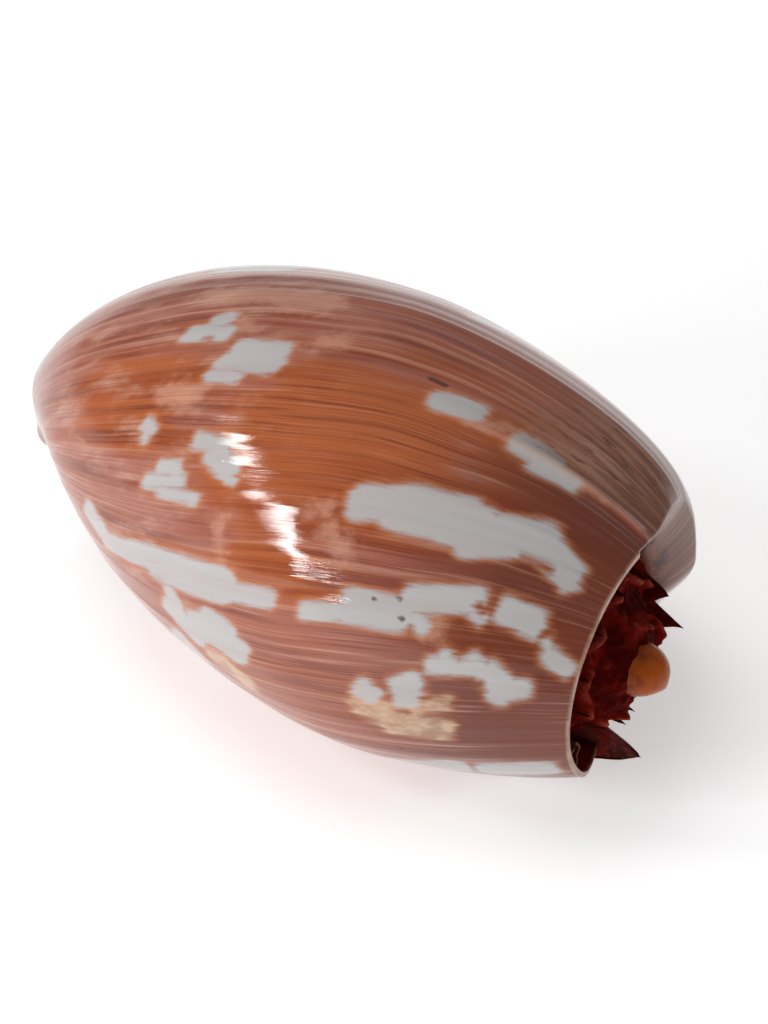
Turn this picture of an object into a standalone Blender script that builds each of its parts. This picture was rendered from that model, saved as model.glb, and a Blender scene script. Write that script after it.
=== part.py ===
"""A baler shell: one grown solid, a swollen spiral body whorl that is open below, round a crowned spire.

The shell is modelled about its coiling axis, which is the local +Z, front end at the bottom. Every angle
called "back" is counted in degrees from the outer lip, back along the spiral towards the first whorl. The
finished solid is then turned to lie on its mouth, the apex along +X, and moved so that the origin is under
the middle of it.
"""

import math

import bmesh
import bpy
from mathutils import Matrix, Vector

MM = 0.001

# The spiral of the body whorl
LIP_RADIUS = 101.9 * MM
GROWTH_PER_TURN = 2.37
WALL = 2.8 * MM
LIP_WALL = 1.9 * MM
CALLUS = 0.7 * MM

# The widest point of the body whorl climbs towards the apex as the spiral is followed back
BELLY_TOP = 230.2 * MM
BELLY_DROP_AT_LIP = 120.9 * MM
BELLY_CLIMB_PER_TURN = 0.503
SHOULDER_POWER = 1.57

# The sharp rim round the spire, which ends at a broken spine and runs on lower and closer in
RIM_HEIGHT = 232 * MM
RIM_RADIUS = 47.8 * MM
RIM_NARROWING_PER_TURN = 0.73
RIM_MOST_OF_BELLY = 0.8
RIM_THICKNESS = 1.6 * MM
RIM_FALL_START, RIM_FALL_END = 240.0, 330.0
RIM_FALL = 13 * MM
RIM_FALL_NARROWING = 0.16
SPIRE_FLOOR = 216 * MM
# How deep the pieces of the spire are sunk into that floor
SUNK = 3 * MM

# The hood: the last part of the whorl has no rim and rolls over into the spire's recess
HOOD_START, HOOD_FULL = 105.0, 60.0
HOOD_CREST_RADIUS = 54 * MM
HOOD_CREST_HEIGHT = 224.4 * MM
HOOD_FOOT_RADIUS = 34 * MM
# Towards the lip the hood falls away
HOOD_FALL_START = 28.0
HOOD_FALL = 12 * MM

# The front end, blunt on the lip's side and drawn in to the columella on the other
LIP_SIDE_END, DRAWN_IN_START, TURN = 60.0, 240.0, 360.0
FRONT_RISE_START = 90.0
FRONT_LOW = 2 * MM
FRONT_RISE = 26.2 * MM
FRONT_CLIMB_PER_DEGREE = 0.12 * MM
FRONT_POWER_AT_LIP = 2.13
FRONT_POWER_AT_BACK = 1.72
FRONT_POWER_LATE_DROP = 0.25
FRONT_RING_RADIUS = 22 * MM
BLUNT_TIP_END, SLIM_TIP_START = 150.0, 260.0
COLUMELLA_TIP = 10.2 * MM
COLUMELLA_TIP_RADIUS = 3.5 * MM
COLUMELLA_TIP_POINT = 1.5 * MM
COLUMELLA_RADIUS = 9 * MM
COLUMELLA_SWELL_BELOW, COLUMELLA_SWELL_ABOVE = 30 * MM, 40 * MM
COLUMELLA_RING_SHARE = 1.05
PLAITS = 4
PLAIT_PITCH = 12 * MM
PLAIT_TOP = 100 * MM
PLAIT_RELIEF = 2.4 * MM
PLAIT_SLOPE_PER_TURN = 40 * MM

# The hollow of the whorl, from just outside the mouth to its inner end
HOLLOW_START, HOLLOW_END = -6.0, 560.0
HOLLOW_TOP = 208.5 * MM
THICK_WALL_START = 90.0
BISECTION_STEPS = 30

# The round notch for the siphon, scooped out of the front end between the columella and the lip
NOTCH_CENTRE_RADIUS, NOTCH_CENTRE_HEIGHT = 30 * MM, -7 * MM
NOTCH_HALF_WIDTH, NOTCH_DEPTH, NOTCH_HALF_HEIGHT = 24 * MM, 30 * MM, 26 * MM

# The older whorls inside the rim, and the smooth dome of the first one
MOUND_RADIUS, MOUND_TOP_RADIUS = 30 * MM, 11 * MM
MOUND_TOP = 231 * MM
FIRST_WHORL_RADIUS = 9.2 * MM
FIRST_WHORL_HALF_HEIGHT = 11.5 * MM
FIRST_WHORL_CENTRE = 233.5 * MM
FIRST_WHORL_LEAN = 12.0

# The crest: the folded wall of the older whorls, which winds in towards the dome between the spines
CREST_START, CREST_END, CREST_STEP = 288.0, 791.0, 10.0
CREST_RADIUS = 31.5 * MM
CREST_NARROWING_PER_TURN = 0.6
CREST_TOP = 225.5 * MM
CREST_CLIMB_PER_TURN = 4 * MM
CREST_THICKNESS = 3.4 * MM
CREST_FOLD = 1.2 * MM
CREST_SCALLOP = 1.6 * MM
CREST_SUNK = 2.1 * MM
CREST_FOLDS_PER_TURN = 9

# The crown of spines. The ones that show well, as (angle back, distance from the axis, length, width)
SPINE_FOOT = 215.5 * MM
SPINE_THICKNESS_SHARE = 0.5
SPINE_CORNERS = 8
# Each step of a spine, as (share of the length, narrowing, shift outwards as a share of the length)
SPINE_STEPS = ((0.4, 0.72, 0.02), (0.35, 0.6, 0.04), (0.25, 0.45, 0.06))
SHOWN_SPINES = (
    (298, 32 * MM, 23 * MM, 17 * MM),
    (340, 28.5 * MM, 14 * MM, 10 * MM),
    (380, 26 * MM, 21.5 * MM, 14 * MM),
    (407, 26.5 * MM, 16 * MM, 11 * MM),
)
# The smaller ones of the older whorls, which follow the spiral in
SMALL_SPINES = 10
SMALL_SPINE_FIRST, SMALL_SPINE_STEP = 444.0, 38.0
SMALL_SPINE_RING = 26 * MM
SMALL_SPINE_LENGTH, SMALL_SPINE_WIDTH = 16 * MM, 8 * MM
BROKEN_SPINE_BACK = 243
BROKEN_SPINE_LENGTH, BROKEN_SPINE_WIDTH = 20 * MM, 11 * MM

# Nothing of the shell is larger than this
LARGEST = 300 * MM

# How the shell lies: the direction that points down, as an angle about the axis and one along it
DOWN_TURN = 299.1
DOWN_TILT = -0.3
FOOT_FLAT = 0.35 * MM

# Fineness of the faceted solid
BODY_STEPS = 60
HOLLOW_STEP = 10.0
SHOULDER_POINTS, FRONT_POINTS, RAMP_POINTS, TIP_POINTS = 8, 10, 4, 4
HOLLOW_SHOULDER_POINTS, HOLLOW_FRONT_POINTS, HOLLOW_INNER_POINTS = 5, 8, 18
NOTCH_SEGMENTS, NOTCH_RINGS = 24, 16
DOME_SEGMENTS, DOME_RINGS = 16, 10
MOUND_SEGMENTS = 24


def ease(start, end, x):
    """0 before start, 1 after end, and smooth between."""
    share = min(max((x - start) / (end - start), 0.0), 1.0)
    return share * share * (3 - 2 * share)


def mix(a, b, share):
    return a + (b - a) * share


def soft_least(a, b, sharpness=8):
    """The smaller of two lengths, with the corner between them rounded off."""
    return (a**-sharpness + b**-sharpness) ** (-1 / sharpness)


def belly_radius(back):
    return LIP_RADIUS * GROWTH_PER_TURN ** (-back / TURN)


def belly_height(back):
    return BELLY_TOP - BELLY_DROP_AT_LIP * BELLY_CLIMB_PER_TURN ** (back / TURN)


def hood(back):
    """1 where the last part of the whorl stands up as a hood, 0 further back."""
    return 1 - ease(HOOD_FULL, HOOD_START, back)


def hood_height(back):
    return HOOD_CREST_HEIGHT - HOOD_FALL * (1 - ease(0, HOOD_FALL_START, back))


def rim_fall(back):
    """0 along the high rim, 1 where the whorl is low and close in behind it."""
    return ease(RIM_FALL_START, RIM_FALL_END, back)


def rim_radius(back):
    free = RIM_RADIUS * RIM_NARROWING_PER_TURN ** (back / TURN) * (1 - RIM_FALL_NARROWING * rim_fall(back))
    return soft_least(free, RIM_MOST_OF_BELLY * belly_radius(back))


def rim_height(back):
    return RIM_HEIGHT - RIM_FALL * rim_fall(back)


def front_height(back):
    """Where the front end of the whorl would reach the axis."""
    late = max(back - DRAWN_IN_START, 0) * FRONT_CLIMB_PER_DEGREE
    return FRONT_LOW + FRONT_RISE * ease(FRONT_RISE_START, DRAWN_IN_START, back) + late


def drawn_in(back):
    """0 on the lip's side of the front end, 1 where it is drawn in to the columella."""
    return ease(LIP_SIDE_END, DRAWN_IN_START, back)


def front_power(back):
    """2 is an elliptical front; less draws it in to a point."""
    power = mix(FRONT_POWER_AT_LIP, FRONT_POWER_AT_BACK, drawn_in(back))
    return power - FRONT_POWER_LATE_DROP * ease(DRAWN_IN_START, TURN, back)


def shoulder_rise(back):
    """Half axis of the curve from the widest point up to the rim."""
    share = rim_radius(back) / belly_radius(back)
    return (rim_height(back) - belly_height(back)) / (1 - share**SHOULDER_POWER) ** (1 / SHOULDER_POWER)


def shoulder_point(back, share):
    """(radius, height) on the shoulder side; share is 0 at the widest point and 1 at the rim."""
    power = 2 / SHOULDER_POWER
    rim_angle = math.acos((rim_radius(back) / belly_radius(back)) ** (SHOULDER_POWER / 2))
    angle = share * rim_angle
    rimmed = (
        belly_radius(back) * math.cos(angle) ** power,
        belly_height(back) + shoulder_rise(back) * math.sin(angle) ** power,
    )
    angle = share * math.pi / 2
    hooded = (
        mix(HOOD_CREST_RADIUS, belly_radius(back), max(math.cos(angle), 0.0) ** power),
        mix(belly_height(back), hood_height(back), math.sin(angle) ** power),
    )
    return mix(rimmed[0], hooded[0], hood(back)), mix(rimmed[1], hooded[1], hood(back))


def front_point(back, angle):
    """(radius, height) on the front side; angle 0 is the widest point, in radians."""
    power = 2 / front_power(back)
    reach = belly_height(back) - front_height(back)
    radius = belly_radius(back) * math.cos(angle) ** power
    return radius, belly_height(back) - reach * math.sin(angle) ** power


def front_angle_at(back, radius):
    """The angle at which front_point has that radius."""
    return math.acos(min(radius / belly_radius(back), 1.0) ** (front_power(back) / 2))


def columella_radius(back, height):
    """Radius of the pillar on the axis, with its slanting plaits."""
    swelling = ease(COLUMELLA_TIP - COLUMELLA_SWELL_BELOW, COLUMELLA_TIP + COLUMELLA_SWELL_ABOVE, height)
    body = COLUMELLA_RADIUS * swelling
    below_top = PLAIT_TOP - height - PLAIT_SLOPE_PER_TURN * (back / TURN - 1)
    wave = 0.5 - 0.5 * math.cos(2 * math.pi * below_top / PLAIT_PITCH)
    span = PLAITS * PLAIT_PITCH
    strength = ease(0, PLAIT_PITCH / 2, below_top) * (1 - ease(span - PLAIT_PITCH / 2, span, below_top))
    return max(body, COLUMELLA_TIP_RADIUS) + PLAIT_RELIEF * wave * strength


def whorl_radius(back, height):
    """Radius of the whorl's outside at that height, never inside the columella."""
    if height > belly_height(back):
        share = (height - belly_height(back)) / shoulder_rise(back)
        own = belly_radius(back) * max(1 - share**SHOULDER_POWER, 0.0) ** (1 / SHOULDER_POWER)
    else:
        power = front_power(back)
        share = (belly_height(back) - height) / (belly_height(back) - front_height(back))
        own = belly_radius(back) * max(1 - share**power, 0.0) ** (1 / power)
    return max(own, columella_radius(back, height))


def place(back, radius, height):
    angle = math.radians(back)
    return Vector((radius * math.cos(angle), radius * math.sin(angle), height))


def ramp_points(back):
    """From the spire's floor up to the rim, or out over the hood's rounded inner side."""
    points = []
    for step in range(RAMP_POINTS):
        angle = math.pi / 2 * step / RAMP_POINTS
        rimmed = (rim_radius(back) - RIM_THICKNESS, mix(SPIRE_FLOOR, rim_height(back), step / RAMP_POINTS))
        hooded = (
            mix(HOOD_CREST_RADIUS, HOOD_FOOT_RADIUS, math.cos(angle)),
            mix(SPIRE_FLOOR, hood_height(back), math.sin(angle)),
        )
        points.append((mix(rimmed[0], hooded[0], hood(back)), mix(rimmed[1], hooded[1], hood(back))))
    return points


def body_row(back):
    """The outside of the whorl in one half plane, from the spire's floor to the tip of the columella."""
    points = ramp_points(back)
    for step in range(SHOULDER_POINTS):
        points.append(shoulder_point(back, 1 - step / SHOULDER_POINTS))
    ring = mix(FRONT_RING_RADIUS, COLUMELLA_RADIUS * COLUMELLA_RING_SHARE, drawn_in(back))
    last = front_angle_at(back, ring)
    for step in range(FRONT_POINTS + 1):
        radius, height = front_point(back, last * step / FRONT_POINTS)
        points.append((max(radius, columella_radius(back, height)), height))
    ring_radius, ring_height = points[-1]
    for step in range(1, TIP_POINTS + 1):
        share = step / TIP_POINTS
        height = mix(ring_height, COLUMELLA_TIP, share)
        blunt = mix(ring_radius, COLUMELLA_TIP_RADIUS, share)
        slim = ease(BLUNT_TIP_END, SLIM_TIP_START, back)
        points.append((mix(blunt, columella_radius(back, height), slim), height))
    return points


def offset_inwards(point, before, after, amount):
    """The point moved into the body, at right angles to the outline there."""
    along = Vector((after[0] - before[0], after[1] - before[1])).normalized()
    return point[0] + along.y * amount, point[1] - along.x * amount


def top_share(back):
    """How far up the shoulder, of the way to its rim, the hollow reaches."""
    low, high = 0.0, 1.0
    for _ in range(BISECTION_STEPS):
        middle = (low + high) / 2
        if shoulder_point(back, middle)[1] < HOLLOW_TOP:
            low = middle
        else:
            high = middle
    return low


def hollow_row(back):
    """The hollow's outline in one half plane: down the inside of the outer wall, then up the columella."""
    lip_back = max(back, 0.0)
    wall = mix(LIP_WALL, WALL, ease(0, THICK_WALL_START, back))
    last = front_angle_at(lip_back, COLUMELLA_RADIUS * 2)
    outline = []
    for step in range(HOLLOW_SHOULDER_POINTS):
        outline.append(shoulder_point(lip_back, top_share(lip_back) * (1 - step / HOLLOW_SHOULDER_POINTS)))
    for step in range(HOLLOW_FRONT_POINTS + 1):
        outline.append(front_point(lip_back, last * step / HOLLOW_FRONT_POINTS))
    points = []
    for index, point in enumerate(outline):
        before = outline[max(index - 1, 0)]
        after = outline[min(index + 1, len(outline) - 1)]
        points.append(offset_inwards(point, before, after, wall))
    start = points[-1][1] + 2 * WALL
    for step in range(HOLLOW_INNER_POINTS + 1):
        height = mix(start, HOLLOW_TOP - 1 * MM, step / HOLLOW_INNER_POINTS)
        points.append((whorl_radius(back + TURN, height) + CALLUS, height))
    return points


def add_row(mesh, back, points):
    return [mesh.verts.new(place(back, radius, height)) for radius, height in points]


def bridge(mesh, row, following, closed):
    """One strip of four-sided faces between two rows of points."""
    count = len(row)
    for index in range(count if closed else count - 1):
        after = (index + 1) % count
        mesh.faces.new((row[index], row[after], following[after], following[index]))


def object_from(mesh, name, collection):
    bmesh.ops.recalc_face_normals(mesh, faces=mesh.faces)
    data = bpy.data.meshes.new(name)
    mesh.to_mesh(data)
    mesh.free()
    made = bpy.data.objects.new(name, data)
    collection.objects.link(made)
    return made


def make_body(collection):
    """The whole outside as a filled solid, stepped at the lip where the spiral has grown past itself."""
    mesh = bmesh.new()
    top = mesh.verts.new((0, 0, SPIRE_FLOOR))
    tip = mesh.verts.new((0, 0, COLUMELLA_TIP - COLUMELLA_TIP_POINT))
    rows = []
    for step in range(BODY_STEPS):
        back = TURN * step / BODY_STEPS
        rows.append(add_row(mesh, back, body_row(back)))
    shared_tip = rows[0][-1]
    rows.append([*add_row(mesh, TURN, body_row(TURN)[:-1]), shared_tip])
    for row, following in zip(rows, rows[1:]):
        bridge(mesh, row, following, closed=False)
        mesh.faces.new((tip, following[-1], row[-1]))
    for row, following in zip(rows[1:], rows[2:]):
        mesh.faces.new((top, row[0], following[0]))
    mesh.faces.new((top, rows[-1][0], rows[0][0], rows[1][0]))
    mesh.faces.new([*rows[0], *reversed(rows[-1][:-1])])
    return object_from(mesh, "shell", collection)


def make_hollow(collection):
    """The tube of the whorl's inside, which winds in from the mouth past the start of the body whorl."""
    mesh = bmesh.new()
    rows = []
    count = round((HOLLOW_END - HOLLOW_START) / HOLLOW_STEP)
    for step in range(count + 1):
        back = mix(HOLLOW_START, HOLLOW_END, step / count)
        rows.append(add_row(mesh, back, hollow_row(back)))
    for row, following in zip(rows, rows[1:]):
        bridge(mesh, row, following, closed=True)
    mesh.faces.new(rows[0])
    mesh.faces.new(rows[-1])
    return object_from(mesh, "hollow", collection)


def make_notch(collection):
    """An egg that stands in the middle of the front end, half of it out in front of the mouth."""
    mesh = bmesh.new()
    size = Matrix.Diagonal((NOTCH_HALF_WIDTH, NOTCH_DEPTH, NOTCH_HALF_HEIGHT, 1))
    where = Matrix.Translation((NOTCH_CENTRE_RADIUS, 0, NOTCH_CENTRE_HEIGHT))
    placing = where @ size
    bmesh.ops.create_uvsphere(
        mesh, u_segments=NOTCH_SEGMENTS, v_segments=NOTCH_RINGS, radius=1, matrix=placing
    )
    return object_from(mesh, "notch", collection)


def make_mound(collection):
    """The low cone of the older whorls that the spines stand on."""
    mesh = bmesh.new()
    foot = SPIRE_FLOOR - SUNK
    depth = MOUND_TOP - foot
    middle = Matrix.Translation((0, 0, foot + depth / 2))
    bmesh.ops.create_cone(
        mesh,
        cap_ends=True,
        segments=MOUND_SEGMENTS,
        radius1=MOUND_RADIUS,
        radius2=MOUND_TOP_RADIUS,
        depth=depth,
        matrix=middle,
    )
    return object_from(mesh, "mound", collection)


def make_first_whorl(collection):
    """The smooth dome of the first whorl, leaning a little to one side."""
    mesh = bmesh.new()
    lean = Matrix.Rotation(math.radians(FIRST_WHORL_LEAN), 4, "Y")
    size = Matrix.Diagonal((FIRST_WHORL_RADIUS, FIRST_WHORL_RADIUS, FIRST_WHORL_HALF_HEIGHT, 1))
    where = Matrix.Translation((0, 0, FIRST_WHORL_CENTRE))
    placing = where @ lean @ size
    bmesh.ops.create_uvsphere(mesh, u_segments=DOME_SEGMENTS, v_segments=DOME_RINGS, radius=1, matrix=placing)
    return object_from(mesh, "first_whorl", collection)


def make_crest(collection):
    """The folded wall that winds in from behind the rim towards the dome, scalloped along its top."""
    mesh = bmesh.new()
    rows = []
    count = round((CREST_END - CREST_START) / CREST_STEP)
    for step in range(count + 1):
        back = mix(CREST_START, CREST_END, step / count)
        turns = (back - CREST_START) / TURN
        phase = 2 * math.pi * CREST_FOLDS_PER_TURN * turns
        shrinking = CREST_NARROWING_PER_TURN**turns
        middle = (CREST_RADIUS + CREST_FOLD * math.sin(phase)) * shrinking
        top = CREST_TOP + CREST_CLIMB_PER_TURN * turns + CREST_SCALLOP * math.cos(phase)
        half = CREST_THICKNESS / 2 * shrinking
        foot = SPIRE_FLOOR - CREST_SUNK
        section = (
            (middle + half, foot),
            (middle + half / 2, top),
            (middle - half / 2, top),
            (middle - half, foot),
        )
        rows.append(add_row(mesh, back, section))
    for row, following in zip(rows, rows[1:]):
        bridge(mesh, row, following, closed=True)
    mesh.faces.new(rows[0])
    mesh.faces.new(rows[-1])
    return object_from(mesh, "crest", collection)


def make_spine(back, ring, length, width, collection):
    """One spine: an oval root drawn out in three steps to a point that leans out a little."""
    mesh = bmesh.new()
    bmesh.ops.create_circle(mesh, cap_ends=True, segments=SPINE_CORNERS, radius=0.5)
    bmesh.ops.scale(mesh, vec=(width * SPINE_THICKNESS_SHARE, width, 1), verts=mesh.verts)
    root = mesh.faces[:]
    tip_face = root
    for share, narrowing, shift in SPINE_STEPS:
        made = bmesh.ops.extrude_face_region(mesh, geom=tip_face)
        if tip_face is not root:
            bmesh.ops.delete(mesh, geom=tip_face, context="FACES_ONLY")
        tip_face = [item for item in made["geom"] if isinstance(item, bmesh.types.BMFace)]
        ends = tip_face[0].verts
        middle = tip_face[0].calc_center_median()
        bmesh.ops.scale(mesh, vec=(narrowing, narrowing, 1), verts=ends, space=Matrix.Translation(-middle))
        bmesh.ops.translate(mesh, vec=(shift * length, 0, share * length), verts=ends)
    where = Matrix.Rotation(math.radians(back), 4, "Z") @ Matrix.Translation((ring, 0, SPINE_FOOT))
    bmesh.ops.transform(mesh, matrix=where, verts=mesh.verts)
    return object_from(mesh, f"spine_{round(back)}", collection)


def make_crown(collection):
    """All the spines on the shoulders of the older whorls, and the broken one that ends the rim."""
    crown = [make_spine(*sizes, collection) for sizes in SHOWN_SPINES]
    for step in range(SMALL_SPINES):
        back = SMALL_SPINE_FIRST + SMALL_SPINE_STEP * step
        shrinking = CREST_NARROWING_PER_TURN ** ((back - SMALL_SPINE_FIRST) / TURN)
        ring = SMALL_SPINE_RING * shrinking
        crown.append(make_spine(back, ring, SMALL_SPINE_LENGTH, SMALL_SPINE_WIDTH * shrinking, collection))
    at_rim = rim_radius(BROKEN_SPINE_BACK) - RIM_THICKNESS / 2
    crown.append(make_spine(BROKEN_SPINE_BACK, at_rim, BROKEN_SPINE_LENGTH, BROKEN_SPINE_WIDTH, collection))
    return crown


def apply_boolean(target, operation, cutters):
    """Joins or cuts a whole collection at once, and keeps the result as the object's own mesh."""
    modifier = target.modifiers.new(operation.lower(), "BOOLEAN")
    modifier.operation = operation
    modifier.operand_type = "COLLECTION"
    modifier.collection = cutters
    modifier.solver = "EXACT"
    graph = bpy.context.evaluated_depsgraph_get()
    result = bpy.data.meshes.new_from_object(target.evaluated_get(graph))
    target.modifiers.remove(modifier)
    target.data = result


def split_faces(target):
    """Splits every face into triangles, along its shorter ways across."""
    mesh = bmesh.new()
    mesh.from_mesh(target.data)
    bmesh.ops.triangulate(mesh, faces=mesh.faces, quad_method="BEAUTY", ngon_method="BEAUTY")
    mesh.to_mesh(target.data)
    mesh.free()


def box_of(shell, matrix):
    """The lowest and the highest corner of the mesh, once it is moved by the matrix."""
    points = [matrix @ vertex.co for vertex in shell.data.vertices]
    return [Vector([end(point[axis] for point in points) for axis in range(3)]) for end in (min, max)]


def lying_matrix(shell):
    """Turns the shell to lie on its mouth, just sunk into z = 0."""
    turn, tilt = math.radians(DOWN_TURN), math.radians(DOWN_TILT)
    up = -Vector((math.cos(turn) * math.cos(tilt), math.sin(turn) * math.cos(tilt), math.sin(tilt)))
    along = (Vector((0, 0, 1)) - up * up.z).normalized()
    turned = Matrix((along, up.cross(along), up)).to_4x4()
    lowest, _ = box_of(shell, turned)
    return Matrix.Translation((0, 0, -lowest.z - FOOT_FLAT)) @ turned


def make_floor_cutter(lying, collection):
    """The ground under the lying shell, which leaves small flats where the two touch."""
    mesh = bmesh.new()
    slab = Matrix.Diagonal((2 * LARGEST, 2 * LARGEST, LARGEST, 1))
    under = Matrix.Translation((0, 0, -LARGEST / 2))
    bmesh.ops.create_cube(mesh, size=1, matrix=lying.inverted() @ under @ slab)
    return object_from(mesh, "floor_cutter", collection)


def nacre_brown():
    material = bpy.data.materials.new("glossy_brown_shell")
    material.use_nodes = True
    shader = material.node_tree.nodes["Principled BSDF"]
    shader.inputs["Base Color"].default_value = (0.42, 0.13, 0.05, 1)
    shader.inputs["Roughness"].default_value = 0.22
    shader.inputs["Metallic"].default_value = 0.0
    return material


def helper_collection(name, scene_collection):
    made = bpy.data.collections.new(name)
    made.hide_render = True
    scene_collection.children.link(made)
    return made


def main():
    for old in list(bpy.data.objects):
        bpy.data.objects.remove(old)
    scene_collection = bpy.context.scene.collection
    parts = bpy.data.collections.new("baler_shell")
    scene_collection.children.link(parts)
    cutters = helper_collection("cutters", scene_collection)
    crown = helper_collection("spire_pieces", scene_collection)

    shell = make_body(parts)
    lying = lying_matrix(shell)
    helpers = [make_hollow(cutters), make_notch(cutters), make_floor_cutter(lying, cutters)]
    helpers += [make_mound(crown), make_first_whorl(crown), make_crest(crown), *make_crown(crown)]
    for helper in helpers:
        helper.hide_render = True
        helper.display_type = "WIRE"

    apply_boolean(shell, "UNION", crown)
    apply_boolean(shell, "DIFFERENCE", cutters)
    split_faces(shell)
    lowest, highest = box_of(shell, lying)
    middle = (lowest + highest) / 2
    shell.data.transform(Matrix.Translation((-middle.x, -middle.y, 0)) @ lying)
    shell.data.materials.clear()
    shell.data.materials.append(nacre_brown())


main()
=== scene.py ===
"""The looks of a baler shell that lies on its mouth: form, growth lines, markings and glaze.

The shell is worked out about its coiling axis, local +Z with the front end at the bottom. An angle called
"back" is counted in degrees from the outer lip, back along the spiral towards the first whorl, and a place
called "across" runs from -1 at the front end over 0 at the widest point to 1 at the axis above. The finished
meshes are then laid down in the row frame by ShellForm.lying.
"""

import logging
import math
from dataclasses import dataclass
from enum import Enum

import bmesh
import bpy
import numpy as np
from mathutils import Matrix, Vector, noise


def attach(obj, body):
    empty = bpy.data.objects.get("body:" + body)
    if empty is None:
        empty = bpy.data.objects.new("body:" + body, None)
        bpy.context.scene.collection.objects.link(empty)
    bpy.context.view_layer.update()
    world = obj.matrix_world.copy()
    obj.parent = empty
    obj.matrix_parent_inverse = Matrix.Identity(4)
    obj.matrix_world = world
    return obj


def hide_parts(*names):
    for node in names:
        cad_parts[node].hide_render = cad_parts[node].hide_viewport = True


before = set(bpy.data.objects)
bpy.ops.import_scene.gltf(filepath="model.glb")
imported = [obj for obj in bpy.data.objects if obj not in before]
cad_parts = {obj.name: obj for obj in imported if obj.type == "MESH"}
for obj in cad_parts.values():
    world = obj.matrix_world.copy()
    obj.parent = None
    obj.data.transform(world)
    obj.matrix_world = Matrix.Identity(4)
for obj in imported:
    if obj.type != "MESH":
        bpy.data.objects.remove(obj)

LOG = logging.getLogger("baler_shell")
MM = 0.001
TURN = 360.0
WELD = 0.01 * MM
OUTSIDE_SLOT, INSIDE_SLOT, RECESS_SLOT = range(3)
SHARP_ANGLE = 50.0
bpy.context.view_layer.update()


def ease(start: float, end: float, x: np.ndarray) -> np.ndarray:
    """Rise smoothly from 0 at start to 1 at end.

    Args:
        start: Value of x where the rise begins.
        end: Value of x where it is complete; it may be below start.
        x: The values to look up.

    Returns:
        The rise at each x.
    """
    share = np.clip((np.asarray(x, float) - start) / (end - start), 0.0, 1.0)
    return share * share * (3 - 2 * share)


def mix(a: np.ndarray, b: np.ndarray, share: np.ndarray) -> np.ndarray:
    """Blend from a to b by share."""
    return a + (b - a) * share


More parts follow.
